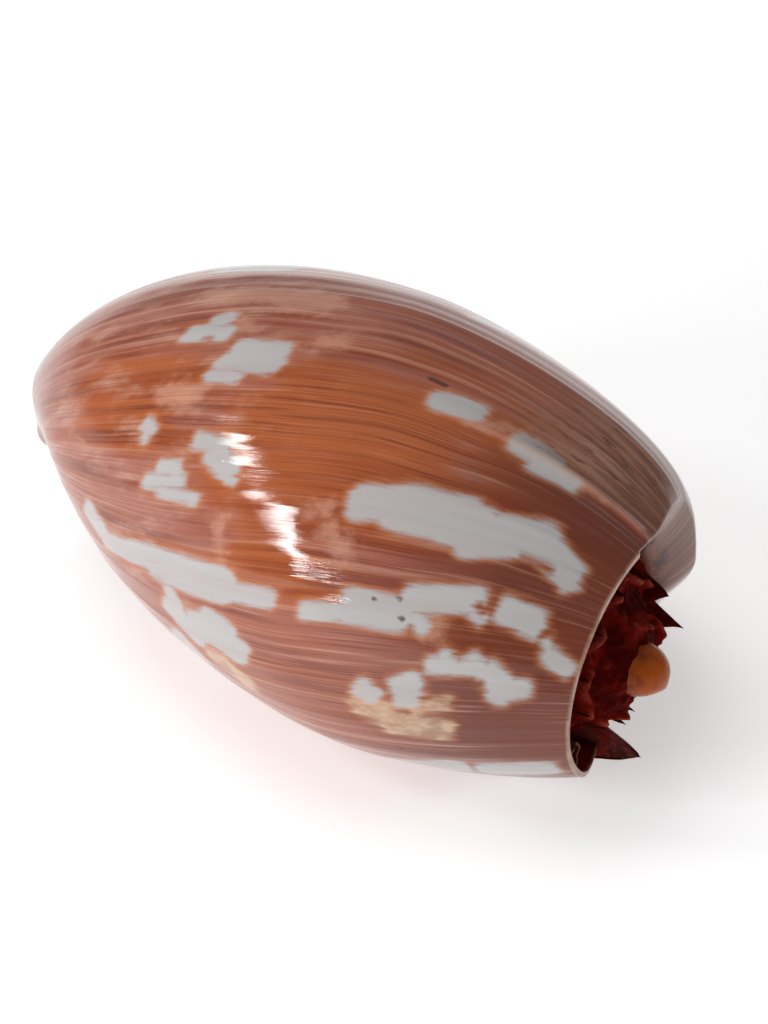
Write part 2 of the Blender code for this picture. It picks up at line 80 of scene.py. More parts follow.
@dataclass(frozen=True)
class ShellForm:
    """The coiling of the shell: every surface of the body whorl in numbers, in metres and degrees."""

    lip_radius: float = 101.9 * MM
    growth_per_turn: float = 2.37
    wall: float = 2.8 * MM
    lip_wall: float = 1.9 * MM
    callus: float = 0.7 * MM
    belly_top: float = 230.2 * MM
    belly_drop: float = 120.9 * MM
    belly_climb: float = 0.503
    shoulder_power: float = 1.57
    rim_top: float = 232 * MM
    rim_at_lip: float = 47.8 * MM
    rim_narrowing: float = 0.73
    rim_share: float = 0.8
    rim_thickness: float = 1.6 * MM
    fall_start: float = 240.0
    fall_end: float = 330.0
    fall: float = 13 * MM
    fall_narrowing: float = 0.16
    spire_floor: float = 216 * MM
    hood_start: float = 105.0
    hood_full: float = 60.0
    crest_radius: float = 54 * MM
    crest_height: float = 224.4 * MM
    hood_foot: float = 34 * MM
    hood_fall_start: float = 28.0
    hood_fall: float = 12 * MM
    front_rise_start: float = 90.0
    lip_side_end: float = 60.0
    drawn_in_start: float = 240.0
    front_low: float = 2 * MM
    front_rise: float = 26.2 * MM
    front_climb: float = 0.12 * MM
    front_power_lip: float = 2.13
    front_power_back: float = 1.72
    front_power_late_drop: float = 0.25
    front_ring_back: float = 1.05
    front_ring: float = 22 * MM
    tip_height: float = 10.2 * MM
    tip_radius: float = 3.5 * MM
    columella: float = 9 * MM
    swell_below: float = 30 * MM
    swell_above: float = 40 * MM
    plaits: int = 4
    plait_pitch: float = 12 * MM
    plait_top: float = 100 * MM
    plait_relief: float = 2.4 * MM
    plait_slope: float = 40 * MM
    hollow_top: float = 208.5 * MM
    line_skew: float = 0.21
    line_middle: float = 115 * MM
    fold_line: float = 131.0
    growth_waves: tuple[tuple[int, float], ...] = ((9, 0.12 * MM), (23, 0.08 * MM), (61, 0.05 * MM))
    growth_ridges: int = 16
    ridge_width: float = 1.1
    fold_rise: float = 0.9 * MM
    fold_width: float = 1.6
    furrow_depth: float = 0.8
    furrow_offset: float = 4.0
    furrow_width: float = 2.6
    relief_seed: int = 5
    down_turn: float = 299.1
    down_tilt: float = -0.3
    shift: tuple[float, float, float] = (-124.018 * MM, -16.790 * MM, 48.971 * MM)

    def lying(self) -> Matrix:
        """Give the matrix that lays the shell on its mouth in the row frame.

        Returns:
            The matrix.
        """
        turn, tilt = math.radians(self.down_turn), math.radians(self.down_tilt)
        up = -Vector((math.cos(turn) * math.cos(tilt), math.sin(turn) * math.cos(tilt), math.sin(tilt)))
        along = (Vector((0, 0, 1)) - up * up.z).normalized()
        return Matrix.Translation(self.shift) @ Matrix((along, up.cross(along), up)).to_4x4()

    def belly_radius(self, back: np.ndarray) -> np.ndarray:
        """Radius of the widest point at each angle back."""
        return self.lip_radius * self.growth_per_turn ** (-np.asarray(back, float) / TURN)

    def belly_height(self, back: np.ndarray) -> np.ndarray:
        """Height of the widest point at each angle back."""
        return self.belly_top - self.belly_drop * self.belly_climb ** (np.asarray(back, float) / TURN)

    def hood(self, back: np.ndarray) -> np.ndarray:
        """1 where the whorl stands up as a rimless hood, 0 further back."""
        return 1 - ease(self.hood_full, self.hood_start, back)

    def hood_height(self, back: np.ndarray) -> np.ndarray:
        """Height of the hood's crest, which falls away towards the lip."""
        return self.crest_height - self.hood_fall * (1 - ease(0, self.hood_fall_start, back))

    def rim_fall(self, back: np.ndarray) -> np.ndarray:
        """0 along the high rim, 1 where the rim is low and close in."""
        return ease(self.fall_start, self.fall_end, back)

    def rim_radius(self, back: np.ndarray) -> np.ndarray:
        """Radius of the sharp rim, kept inside the widest point.

        Args:
            back: Angle back from the lip.

        Returns:
            Its radius at each angle.
        """
        free = self.rim_at_lip * self.rim_narrowing ** (back / TURN)
        free = free * (1 - self.fall_narrowing * self.rim_fall(back))
        most = self.rim_share * self.belly_radius(back)
        return (free**-8 + most**-8) ** (-1 / 8)

    def rim_height(self, back: np.ndarray) -> np.ndarray:
        """Height of the rim."""
        return self.rim_top - self.fall * self.rim_fall(back)

    def front_height(self, back: np.ndarray) -> np.ndarray:
        """Where the front of the whorl would reach the axis."""
        late = np.maximum(back - self.drawn_in_start, 0) * self.front_climb
        rise = ease(self.front_rise_start, self.drawn_in_start, back)
        return self.front_low + self.front_rise * rise + late

    def drawn_in(self, back: np.ndarray) -> np.ndarray:
        """0 on the lip's side, 1 where the front is drawn in to a point."""
        return ease(self.lip_side_end, self.drawn_in_start, back)

    def front_power(self, back: np.ndarray) -> np.ndarray:
        """2 is an elliptical front; less draws it in to a point."""
        power = mix(self.front_power_lip, self.front_power_back, self.drawn_in(back))
        return power - self.front_power_late_drop * ease(self.drawn_in_start, TURN, back)

    def shoulder_rise(self, back: np.ndarray) -> np.ndarray:
        """Half axis of the curve from the widest point up to the rim.

        Args:
            back: Angle back from the lip.

        Returns:
            The half axis along the height.
        """
        share = self.rim_radius(back) / self.belly_radius(back)
        return (self.rim_height(back) - self.belly_height(back)) / (
            1 - share**self.shoulder_power
        ) ** (1 / self.shoulder_power)

    def shoulder_point(self, back: np.ndarray, share: np.ndarray) -> tuple[np.ndarray, np.ndarray]:
        """Find a point on the shoulder side.

        Args:
            back: Angle back from the lip.
            share: 0 at the widest point, 1 at the rim or the hood's crest.

        Returns:
            Radius and height.
        """
        power = 2 / self.shoulder_power
        ratio = self.rim_radius(back) / self.belly_radius(back)
        angle = share * np.arccos(ratio ** (self.shoulder_power / 2))
        rimmed_r = self.belly_radius(back) * np.cos(angle) ** power
        rimmed_h = self.belly_height(back) + self.shoulder_rise(back) * np.sin(angle) ** power
        angle = share * math.pi / 2
        hooded_r = mix(self.crest_radius, self.belly_radius(back), np.maximum(np.cos(angle), 0) ** power)
        hooded_h = mix(self.belly_height(back), self.hood_height(back), np.sin(angle) ** power)
        return mix(rimmed_r, hooded_r, self.hood(back)), mix(rimmed_h, hooded_h, self.hood(back))

    def front_point(self, back: np.ndarray, angle: np.ndarray) -> tuple[np.ndarray, np.ndarray]:
        """Radius and height on the front side; angle 0 is the widest point, in radians.

        Args:
            back: Angle back from the lip.
            angle: Angle on the front's curve: 0 at the widest point, in radians.

        Returns:
            Radius and height.
        """
        power = 2 / self.front_power(back)
        reach = self.belly_height(back) - self.front_height(back)
        radius = self.belly_radius(back) * np.cos(angle) ** power
        return radius, self.belly_height(back) - reach * np.sin(angle) ** power

    def front_angle_at(self, back: np.ndarray, radius: np.ndarray) -> np.ndarray:
        """The angle at which front_point has that radius."""
        return np.arccos(np.minimum(radius / self.belly_radius(back), 1.0) ** (self.front_power(back) / 2))

    def columella_radius(self, back: np.ndarray, height: np.ndarray) -> np.ndarray:
        """Radius of the pillar on the axis, with its slanting plaits.

        Args:
            back: Angle back from the lip.
            height: Height along the axis.

        Returns:
            The radius at each place.
        """
        swell = ease(self.tip_height - self.swell_below, self.tip_height + self.swell_above, height)
        body = self.columella * swell
        below = self.plait_top - height - self.plait_slope * (back / TURN - 1)
        wave = 0.5 - 0.5 * np.cos(2 * np.pi * below / self.plait_pitch)
        span = self.plaits * self.plait_pitch
        strength = ease(0, self.plait_pitch / 2, below) * (1 - ease(span - self.plait_pitch / 2, span, below))
        return np.maximum(body, self.tip_radius) + self.plait_relief * wave * strength

    def whorl_radius(self, back: np.ndarray, height: np.ndarray) -> np.ndarray:
        """Radius of the whorl's outside at that height, never inside the columella.

        Args:
            back: Angle back from the lip.
            height: Height along the axis.

        Returns:
            The radius at each place.
        """
        upper = np.clip((height - self.belly_height(back)) / self.shoulder_rise(back), 0, 1)
        above = (1 - upper**self.shoulder_power) ** (1 / self.shoulder_power)
        power = self.front_power(back)
        reach = self.belly_height(back) - self.front_height(back)
        lower = np.clip((self.belly_height(back) - height) / reach, 0, 1)
        below = (1 - lower**power) ** (1 / power)
        own = self.belly_radius(back) * np.where(height > self.belly_height(back), above, below)
        return np.maximum(own, self.columella_radius(back, height))

    def outer_point(self, back: np.ndarray, across: np.ndarray) -> tuple[np.ndarray, np.ndarray]:
        """Find a point of the outside.

        Args:
            back: Angle back from the lip.
            across: -1 at the front ring, 0 at the widest point, 1 at the rim or crest.

        Returns:
            Radius and height.
        """
        ring = mix(self.columella * self.front_ring_back, self.front_ring, 1 - self.drawn_in(back))
        last = self.front_angle_at(back, ring)
        low_r, low_h = self.front_point(back, last * np.maximum(-across, 0))
        low_r = np.maximum(low_r, self.columella_radius(back, low_h))
        high_r, high_h = self.shoulder_point(back, np.maximum(across, 0))
        return np.where(across < 0, low_r, high_r), np.where(across < 0, low_h, high_h)

    def streak(self, back: np.ndarray, height: np.ndarray) -> np.ndarray:
        """Name the growth line through a place, as its angle back at mid length."""
        return back + self.line_skew * (height - self.line_middle) / MM

    def relief(self, back: np.ndarray, height: np.ndarray) -> np.ndarray:
        """How far growth lines stand proud of the even form, in metres.

        Args:
            back: Angle back from the lip.
            height: Height along the axis.

        Returns:
            The rise at each place; it fades out at the lip, the rim and the front.
        """
        line = self.streak(back, height)
        rng = np.random.default_rng(self.relief_seed)
        rise = np.zeros_like(line)
        for number, size in self.growth_waves:
            phase = rng.uniform(0, 2 * np.pi) + 0.9 * np.sin(np.radians(line) * number / 2.7)
            rise = rise + size * np.sin(np.radians(line) * number + phase)
        for at in rng.uniform(20, 350, self.growth_ridges):
            strength = rng.uniform(0.1, 0.3) * MM
            span = ease(rng.uniform(10, 60), rng.uniform(80, 120), height / MM)
            rise = rise + strength * span * np.exp(-((line - at) / self.ridge_width) ** 2)
        fold = np.exp(-((line - self.fold_line) / self.fold_width) ** 2)
        furrow = np.exp(-((line - self.fold_line - self.furrow_offset) / self.furrow_width) ** 2)
        rise = rise + self.fold_rise * ease(150, 205, height / MM) * (fold - self.furrow_depth * furrow)
        fade = ease(3, 14, back) * ease(357, 340, back) * ease(12, 40, height / MM)
        return rise * fade * ease(0.2, 3, (self.rim_height(back) - height) / MM)

    def place(self, back: np.ndarray, radius: np.ndarray, height: np.ndarray) -> np.ndarray:
        """Turn back, radius and height into points, one per row."""
        angle = np.radians(back)
        return np.stack([radius * np.cos(angle), radius * np.sin(angle), height], -1)


FORM = ShellForm()


def new_object(mesh: bmesh.types.BMesh, name: str) -> bpy.types.Object:
    """Make an object of a finished bmesh.

    Args:
        mesh: The bmesh, which is freed.
        name: Name of the object and of its mesh.

    Returns:
        The object, at the origin of the scene.
    """
    data = bpy.data.meshes.new(name)
    mesh.to_mesh(data)
    mesh.free()
    made = bpy.data.objects.new(name, data)
    bpy.context.scene.collection.objects.link(made)
    return made


def grid_mesh(rows: int, columns: int) -> tuple[bmesh.types.BMesh, np.ndarray]:
    """Start a surface as a flat grid.

    Args:
        rows: Number of points along the spiral.
        columns: Number of points of each row.

    Returns:
        The bmesh and, for each of its vertices, its (row, column) shares from 0 to 1.
    """
    mesh = bmesh.new()
    bmesh.ops.create_grid(mesh, x_segments=rows - 1, y_segments=columns - 1, size=0.5)
    mesh.verts.ensure_lookup_table()
    shares = np.array([vertex.co[:2] for vertex in mesh.verts]) + 0.5
    return mesh, shares


def move_vertices(mesh: bmesh.types.BMesh, points: np.ndarray) -> None:
    """Put each vertex of the bmesh at its own point."""
    for vertex, point in zip(mesh.verts, points):
        vertex.co = point


def add_lift(mesh: bmesh.types.BMesh, values: np.ndarray) -> None:
    """Store on each vertex how far it stands up, as the attribute "lift"."""
    layer = mesh.verts.layers.float.new("lift")
    for vertex, value in zip(mesh.verts, values):
        vertex[layer] = value


def close_up(mesh: bmesh.types.BMesh, name: str) -> bpy.types.Object:
    """Weld a moved grid's seam and poles, fill what is still open and turn its faces outwards.

    Args:
        mesh: The grid, moved into place.
        name: Name for the object.

    Returns:
        The closed object.
    """
    bmesh.ops.remove_doubles(mesh, verts=mesh.verts, dist=WELD)
    bmesh.ops.holes_fill(mesh, edges=mesh.edges, sides=0)
    bmesh.ops.recalc_face_normals(mesh, faces=mesh.faces)
    return new_object(mesh, name)


def stand_up(
    mesh: bmesh.types.BMesh, points: np.ndarray, lift: np.ndarray, back: float, name: str
) -> bpy.types.Object:
    """Move a grid into place, turn it about the axis and close it.

    Args:
        mesh: The grid.
        points: A point for each vertex: outwards, aside and up the axis.
        lift: The value of the attribute "lift" for each vertex.
        back: Angle back from the lip at which the piece stands.
        name: Name for the object.

    Returns:
        The closed object, in the shell's own frame.
    """
    move_vertices(mesh, points)
    add_lift(mesh, lift)
    bmesh.ops.transform(mesh, matrix=Matrix.Rotation(math.radians(back), 4, "Z"), verts=mesh.verts)
    return close_up(mesh, name)


@dataclass
class BodyWhorl:
    """The last whorl: its outside, its hollow and the notch at the front."""

    form: ShellForm
    rows: int = 400
    columns: int = 170
    hollow_rows: int = 150
    hollow_columns: int = 90
    hollow_start: float = -6.0
    hollow_end: float = 560.0
    hollow_outer_share: float = 0.55
    floor_share: float = 0.03
    ramp_share: float = 0.09
    tip_share: float = 0.08
    rim_fineness: float = 1.3
    crest_reach: float = 0.035
    crest_smoothing: int = 12
    crest_span: tuple[float, float] = (2.0, 116.0)
    blunt_tip_end: float = 150.0
    slim_tip_start: float = 260.0
    notch_size: tuple[float, float, float] = (24 * MM, 30 * MM, 26 * MM)
    notch_place: tuple[float, float, float] = (30 * MM, 0.0, -7 * MM)

    def outside_points(self, shares: np.ndarray) -> np.ndarray:
        """Work out the outside from the spire's floor over the rim and round to the columella's tip.

        Args:
            shares: (along the spiral, down the profile) of each vertex, from 0 to 1.

        Returns:
            A point for each.
        """
        form = self.form
        back, down = TURN * shares[:, 0], shares[:, 1]
        floor_end, ramp_end, tip_start = self.floor_share, self.ramp_share, 1 - self.tip_share
        # the ramp, from the axis along the floor and up to the rim or out over the hood
        rise = np.clip((down - floor_end) / (ramp_end - floor_end), 0, 1)
        hood = form.hood(back)
        floor = form.spire_floor + 0.8 * MM * (1 - back / TURN)
        angle = rise * math.pi / 2
        rimmed_r, rimmed_h = form.rim_radius(back) - form.rim_thickness, mix(floor, form.rim_height(back), rise)
        hooded_r = mix(form.crest_radius, form.hood_foot, np.cos(angle))
        hooded_h = mix(floor, form.hood_height(back), np.sin(angle))
        radius, height = mix(rimmed_r, hooded_r, hood), mix(rimmed_h, hooded_h, hood)
        radius = np.where(down < floor_end, radius * down / floor_end, radius)
        # the outside proper
        across = 1 - 2 * np.clip((down - ramp_end) / (tip_start - ramp_end), 0, 1) ** self.rim_fineness
        outer_r, outer_h = form.outer_point(back, across)
        outer_r = outer_r + form.relief(back, outer_h)
        proper = down >= ramp_end
        radius, height = np.where(proper, outer_r, radius), np.where(proper, outer_h, height)
        # the tip, from the front ring in to the columella's end
        share = np.clip((down - tip_start) / (1 - tip_start), 0, 1)
        ring_r, ring_h = form.outer_point(back, -np.ones_like(back))
        tip_h = mix(ring_h, form.tip_height, share)
        blunt = mix(ring_r, form.tip_radius, share)
        pillar = form.columella_radius(back, tip_h)
        tip_r = mix(pillar, blunt, 1 - ease(self.blunt_tip_end, self.slim_tip_start, back))
        tip_r = tip_r * (1 - ease(0.9, 1.0, share))
        in_tip = down > tip_start
        radius, height = np.where(in_tip, tip_r, radius), np.where(in_tip, tip_h, height)
        return form.place(back, radius, height)

    def top_share(self, back: np.ndarray) -> np.ndarray:
        """How far up the shoulder the hollow reaches, of the way to its rim.

        Args:
            back: Angle back from the lip.

        Returns:
            The share: 0 at the widest point, 1 at the rim.
        """
        low, high = np.zeros_like(back), np.ones_like(back)
        for _ in range(30):
            middle = (low + high) / 2
            below = self.form.shoulder_point(back, middle)[1] < self.form.hollow_top
            low, high = np.where(below, middle, low), np.where(below, high, middle)
        return low

    def hollow_points(self, shares: np.ndarray) -> np.ndarray:
        """Work out the hollow: down the inside of the outer wall, then up the columella.

        Args:
            shares: (along the spiral, round the outline) of each vertex, from 0 to 1.

        Returns:
            A point for each; the first and the last of a row meet.
        """
        form = self.form
        back, around = mix(self.hollow_start, self.hollow_end, shares[:, 0]), shares[:, 1]
        lip_back = np.maximum(back, 0.0)
        wall = mix(form.lip_wall, form.wall, ease(0, 90, back))
        last = form.front_angle_at(lip_back, np.full_like(back, form.columella * 2))
        top = self.top_share(lip_back)

        def outline(place: np.ndarray) -> tuple[np.ndarray, np.ndarray]:
            """The outer wall's outside at a place from -1, the top, to 1, the front."""
            high = form.shoulder_point(lip_back, top * np.maximum(-place, 0))
            low = form.front_point(lip_back, last * np.maximum(place, 0))
            return np.where(place < 0, high[0], low[0]), np.where(place < 0, high[1], low[1])

        outer_end = self.hollow_outer_share
        place = mix(-1.0, 1.0, np.clip(around / outer_end, 0, 1))
        step = 0.01
        r0, h0 = outline(np.clip(place - step, -1, 1))
        r1, h1 = outline(np.clip(place + step, -1, 1))
        radius, height = outline(place)
        length = np.hypot(r1 - r0, h1 - h0)
        radius, height = radius + (h1 - h0) / length * wall, height - (r1 - r0) / length * wall
        # up the columella, from just above the front to the top again
        last_r, last_h = outline(np.ones_like(place))
        before_r, before_h = outline(np.ones_like(place) - step)
        length = np.hypot(last_r - before_r, last_h - before_h)
        start = last_h - (last_r - before_r) / length * wall + 2 * form.wall
        rise = np.clip((around - outer_end - 0.02) / (1 - outer_end - 0.04), 0, 1)
        inner_h = mix(start, form.hollow_top - 1 * MM, rise)
        inner_r = form.whorl_radius(back + TURN, inner_h) + form.callus
        inner = around > outer_end + 0.01
        radius, height = np.where(inner, inner_r, radius), np.where(inner, inner_h, height)
        first_r, first_h = form.shoulder_point(lip_back, top)
        closing = around > 0.999
        radius = np.where(closing, first_r - wall, radius)
        height = np.where(closing, first_h, height)
        return form.place(back, radius, height)

    def build(self) -> bpy.types.Object:
        """Build the whorl: the filled outside less its hollow and its notch.

        Returns:
            The body whorl, about its own axis.
        """
        mesh, shares = grid_mesh(self.rows, self.columns)
        move_vertices(mesh, self.outside_points(shares))
        crest = [
            vertex
            for vertex, (along, down) in zip(mesh.verts, shares)
            if self.crest_span[0] < TURN * along < self.crest_span[1]
            and abs(down - self.ramp_share) < self.crest_reach
        ]
        for _ in range(self.crest_smoothing):
            bmesh.ops.smooth_vert(
                mesh, verts=crest, factor=0.5, use_axis_x=True, use_axis_y=True, use_axis_z=True
            )
        body = close_up(mesh, "body_whorl")
        mesh, shares = grid_mesh(self.hollow_rows, self.hollow_columns)
        points = self.hollow_points(shares)
        first = shares[:, 1] < 1e-6
        last = shares[:, 1] > 1 - 1e-6
        points[last] = points[first]
        move_vertices(mesh, points)
        hollow = close_up(mesh, "hollow")
        mesh = bmesh.new()
        size = Matrix.Diagonal((*self.notch_size, 1))
        where = Matrix.Translation(self.notch_place)
        bmesh.ops.create_uvsphere(mesh, u_segments=64, v_segments=40, radius=1, matrix=where @ size)
        notch = new_object(mesh, "notch")
        for cutter in (hollow, notch):
            cut = body.modifiers.new("cut", "BOOLEAN")
            cut.operation = "DIFFERENCE"
            cut.solver = "EXACT"
            cut.object = cutter
        graph = bpy.context.evaluated_depsgraph_get()
        data = bpy.data.meshes.new_from_object(body.evaluated_get(graph))
        body.modifiers.clear()
        body.data = data
        for cutter in (hollow, notch):
            bpy.data.objects.remove(cutter)
        return body


@dataclass
class Spine:
    """One spine of the crown: a pointed scale, hollow on the side that faces the growing edge."""

    name: str
    back: float
    ring: float
    length: float
    width: float
    foot: float = 215.5 * MM
    lean: float = 0.12
    sweep: float = 0.0
    bluntness: float = 0.7
    hollow: float = 0.35
    thickness: float = 0.42
    root_flare: float = 0.9
    ribs: int = 9
    rib_depth: float = 0.07
    droop: float = 0.12
    around: int = 29
    along: int = 18

    def build(self) -> bpy.types.Object:
        """Roll a grid up to a crescent that narrows to the point.

        Returns:
            The spine, in the shell's own frame, with the attribute "lift" from root to tip.
        """
        mesh, shares = grid_mesh(self.around, self.along)
        angle, rise = 2 * np.pi * shares[:, 0], shares[:, 1]
        size = (1 - rise) ** self.bluntness * (1 + self.root_flare * (1 - rise) ** 5)
        ribs = 1 + self.rib_depth * np.cos(self.ribs * angle) * (1 - rise)
        aside = self.width / 2 * size * np.sin(angle) * ribs
        bulge = np.where(np.cos(angle) > 0, 1.0, self.hollow)
        behind = self.width * self.thickness * size * (np.abs(np.cos(angle)) * bulge * ribs - 0.4)
        radius = self.ring + aside + self.lean * self.length * rise**2
        tangent = behind + self.sweep * self.length * rise**2
        height = self.foot + self.length * rise - self.droop * self.length * rise * np.sin(angle) ** 2
        return stand_up(mesh, np.stack([radius, tangent, height], -1), rise, self.back, self.name)


@dataclass
class BrokenSpine:
    """The spine that ends the rim, broken off so that its hollow shows."""

    back: float = 241.0
    ring: float = 32 * MM
    foot: float = 217 * MM
    length: float = 11.5 * MM
    radius: float = 3.6 * MM
    wall: float = 0.8 * MM
    depth: float = 8 * MM
    lean: float = 0.12
    edge_start: float = 0.6
    edge_middle: float = 0.63
    edge_end: float = 0.66

    def build(self) -> bpy.types.Object:
        """Draw its wall up, over the broken edge and down into the pit.

        Returns:
            The stump, in the shell's own frame.
        """
        mesh, shares = grid_mesh(41, 30)
        angle, down = 2 * np.pi * shares[:, 0], shares[:, 1]
        top = self.length + 0.8 * MM * np.cos(angle) + 0.3 * MM * np.sin(5 * angle)
        outside = ease(0, self.edge_start, down)
        inside = np.clip((down - self.edge_end) / (1 - self.edge_end), 0, 1)
        flare = 0.8 + 0.35 * outside**2
        shape = 1 + 0.18 * np.cos(2 * angle) + 0.05 * np.cos(5 * angle)
        outer = self.radius * flare * shape
        inner = (self.radius * 1.15 * shape - self.wall) * (1 - inside**3)
        still_outside = down <= self.edge_middle
        radial = np.where(still_outside, outer, inner)
        height = self.foot + np.where(still_outside, outside * top, top - inside * self.depth)
        radius = self.ring + radial * np.cos(angle) + self.lean * (height - self.foot)
        points = np.stack([radius, radial * np.sin(angle), height], -1)
        return stand_up(mesh, points, inside, self.back, "broken_spine")


@dataclass
class Spire:
    """The older whorls inside the rim: their folded walls, the crown of spines and the first whorl's dome.

    Fields without MM that are heights or rises are counts of millimetres.
    """

    form: ShellForm
    rows: int = 260
    columns: int = 120
    reach: float = 33.5 * MM
    low: float = 214.5
    high: float = 235.5
    flat_radius: float = 6.0
    steepness: float = 0.85
    wall_start: float = 288.0
    wall_end: float = 860.0
    wall_fade_in: float = 45.0
    wall_fade_out: float = 40.0
    wall_radius: float = 32 * MM
    wall_rise: float = 5.2
    fold_rise: float = 1.8
    fold_reach: float = 1.1 * MM
    folds_per_turn: float = 10.5
    narrowing: float = 0.6
    lump_rise: float = 1.9
    pit_depth: float = 0.3
    skirt: float = 1.5 * MM
    dome_radius: float = 8.9 * MM
    dome_half_height: float = 11.2 * MM
    dome_centre: float = 232.8 * MM
    dome_lean: float = 12.0
    nub: tuple[float, float, float] = (4.6 * MM, -4.6 * MM, 244.2 * MM)
    nub_reach: float = 3.4 * MM
    nub_spot: float = 1.7 * MM
    shown_spines: tuple[tuple[float, float, float, float, float, float, float], ...] = (
        (288, 29.5 * MM, 24 * MM, 16 * MM, 0.05, 0.02, 0.5),
        (340, 28.5 * MM, 14 * MM, 10 * MM, 0.1, 0.0, 0.7),
        (387, 25 * MM, 20 * MM, 19 * MM, 0.12, -0.14, 0.85),
        (410, 25.5 * MM, 15 * MM, 13.5 * MM, 0.1, -0.1, 0.5),
        (316, 24 * MM, 15 * MM, 6.5 * MM, 0.14, -0.05, 0.7),
        (307, 26.5 * MM, 14 * MM, 6 * MM, 0.14, -0.05, 0.7),
        (374, 18.5 * MM, 15.5 * MM, 7.5 * MM, 0.1, 0.0, 0.8),
    )
    small_spines: int = 11
    small_start: float = 440.0
    small_step: float = 36.0
    small_ring: float = 25 * MM
    small_width: float = 9 * MM

    def field_height(self, back: np.ndarray, radius: np.ndarray) -> tuple[np.ndarray, np.ndarray]:
        """Work out the older whorls as a height over the spire's floor.

        Args:
            back: Angle about the axis, from 0 to 360.
            radius: Distance from the axis.

        Returns:
            The height, and from 0 in the hollows to 1 on the lumps how much a place stands up.
        """
        climb = ease(self.reach / MM, self.flat_radius, radius / MM) ** self.steepness
        base = mix(self.low, self.high, climb) * MM
        wall = np.zeros_like(radius)
        for turn in range(3):
            along = back + TURN * turn
            inside = ease(self.wall_start - 8, self.wall_start + self.wall_fade_in, along)
            inside = inside * ease(self.wall_end, self.wall_end - self.wall_fade_out, along)
            shrinking = self.narrowing ** ((along - self.wall_start) / TURN)
            folds = np.radians(along * self.folds_per_turn)
            crest = self.wall_radius * shrinking + self.fold_reach * shrinking * np.sin(folds)
            off = (radius - crest) / (MM * (0.45 + 0.55 * shrinking))
            peak = np.where(off > 0, np.exp(-((off / 1.5) ** 2)), np.exp(-((off / 2.6) ** 2)))
            tall = (self.wall_rise + self.fold_rise * np.cos(folds)) * MM * (0.55 + 0.45 * shrinking)
            wall = np.maximum(wall, peak * tall * inside)
        return base + wall, wall / ((self.wall_rise + self.fold_rise) * MM)

    def build_whorls(self) -> bpy.types.Object:
        """Raise a round grid to the folded walls of the older whorls, with lumps and pits on them.

        Returns:
            The older whorls, with the attribute "lift".
        """
        mesh, shares = grid_mesh(self.rows, self.columns)
        back, radius = TURN * shares[:, 0], self.reach * shares[:, 1]
        height, lift = self.field_height(back, radius)
        even = self.form.place(back, radius, height)
        lumps = np.array([noise.fractal(Vector(point) * 170, 0.8, 2.1, 2) for point in even])
        pits = np.array([noise.noise(Vector(point) * 620) for point in even])
        away = ease(6, 10, radius / MM) * ease(self.reach / MM, self.reach / MM - 3, radius / MM)
        height = height + away * (self.lump_rise * lumps + self.pit_depth * np.minimum(pits, 0)) * MM
        move_vertices(mesh, self.form.place(back, radius, height))
        # lift picks the crown's tone: dark in the hollows, partly painted shade, and pink on the lumps, partly
        # painted highlight
        add_lift(mesh, np.clip(lift * 0.7 + 0.3 * lumps + 0.15, 0, 1))
        bmesh.ops.remove_doubles(mesh, verts=mesh.verts, dist=WELD)
        rim = [edge for edge in mesh.edges if edge.is_boundary]
        skirt = bmesh.ops.extrude_edge_only(mesh, edges=rim)["geom"]
        low = [item for item in skirt if isinstance(item, bmesh.types.BMVert)]
        bmesh.ops.translate(mesh, vec=(0, 0, -self.skirt), verts=low)
        return close_up(mesh, "older_whorls")

    def build_dome(self) -> bpy.types.Object:
        """Build the smooth dome of the first whorl, with the nub it began from.

        Returns:
            The dome, with the attribute "lift".
        """
        mesh = bmesh.new()
        lean = Matrix.Rotation(math.radians(self.dome_lean), 4, "Y")
        size = Matrix.Diagonal((self.dome_radius, self.dome_radius, self.dome_half_height, 1))
        where = Matrix.Translation((0, 0, self.dome_centre))
        bmesh.ops.create_uvsphere(mesh, u_segments=64, v_segments=40, radius=1, matrix=where @ lean @ size)
        nub = Vector(self.nub)
        for vertex in mesh.verts:
            pull = math.exp(-(((vertex.co - nub).length / self.nub_reach) ** 2))
            vertex.co += (nub - vertex.co) * 0.55 * pull
        bmesh.ops.recalc_face_normals(mesh, faces=mesh.faces)
        away = np.array([(vertex.co - nub).length for vertex in mesh.verts])
        height = np.array([vertex.co.z for vertex in mesh.verts])
        # lift also darkens the dome towards its base: partly its own amber-to-maroon colour, partly painted
        # shade where it meets the older whorls
        add_lift(mesh, np.maximum(np.exp(-((away / self.nub_spot) ** 2)), 0.4 * ease(242, 231, height / MM)))
        return new_object(mesh, "first_whorl")

    def build_crown(self) -> list[bpy.types.Object]:
        """Build all the spines, and the broken one that ends the rim.

        Returns:
            The spines, the large ones first and the broken one last.
        """
        crown = []
        for index, (back, ring, length, width, lean, sweep, bluntness) in enumerate(self.shown_spines):
            bend = {"lean": lean, "sweep": sweep, "bluntness": bluntness}
            spine = Spine(f"spine_{index}", back, ring, length, width, **bend)
            crown.append(spine.build())
        for index in range(self.small_spines):
            back = self.small_start + self.small_step * index
            shrinking = self.narrowing ** ((back - self.small_start) / TURN)
            length = mix(12.5, 18.5, index / self.small_spines) * MM
            ring, width = self.small_ring * shrinking, self.small_width * shrinking
            crown.append(Spine(f"small_spine_{index}", back, ring, length, width).build())
        crown.append(BrokenSpine().build())
        return crown

    def build(self) -> list[bpy.types.Object]:
        """Build every piece of the spire."""
        return [self.build_whorls(), self.build_dome(), *self.build_crown()]


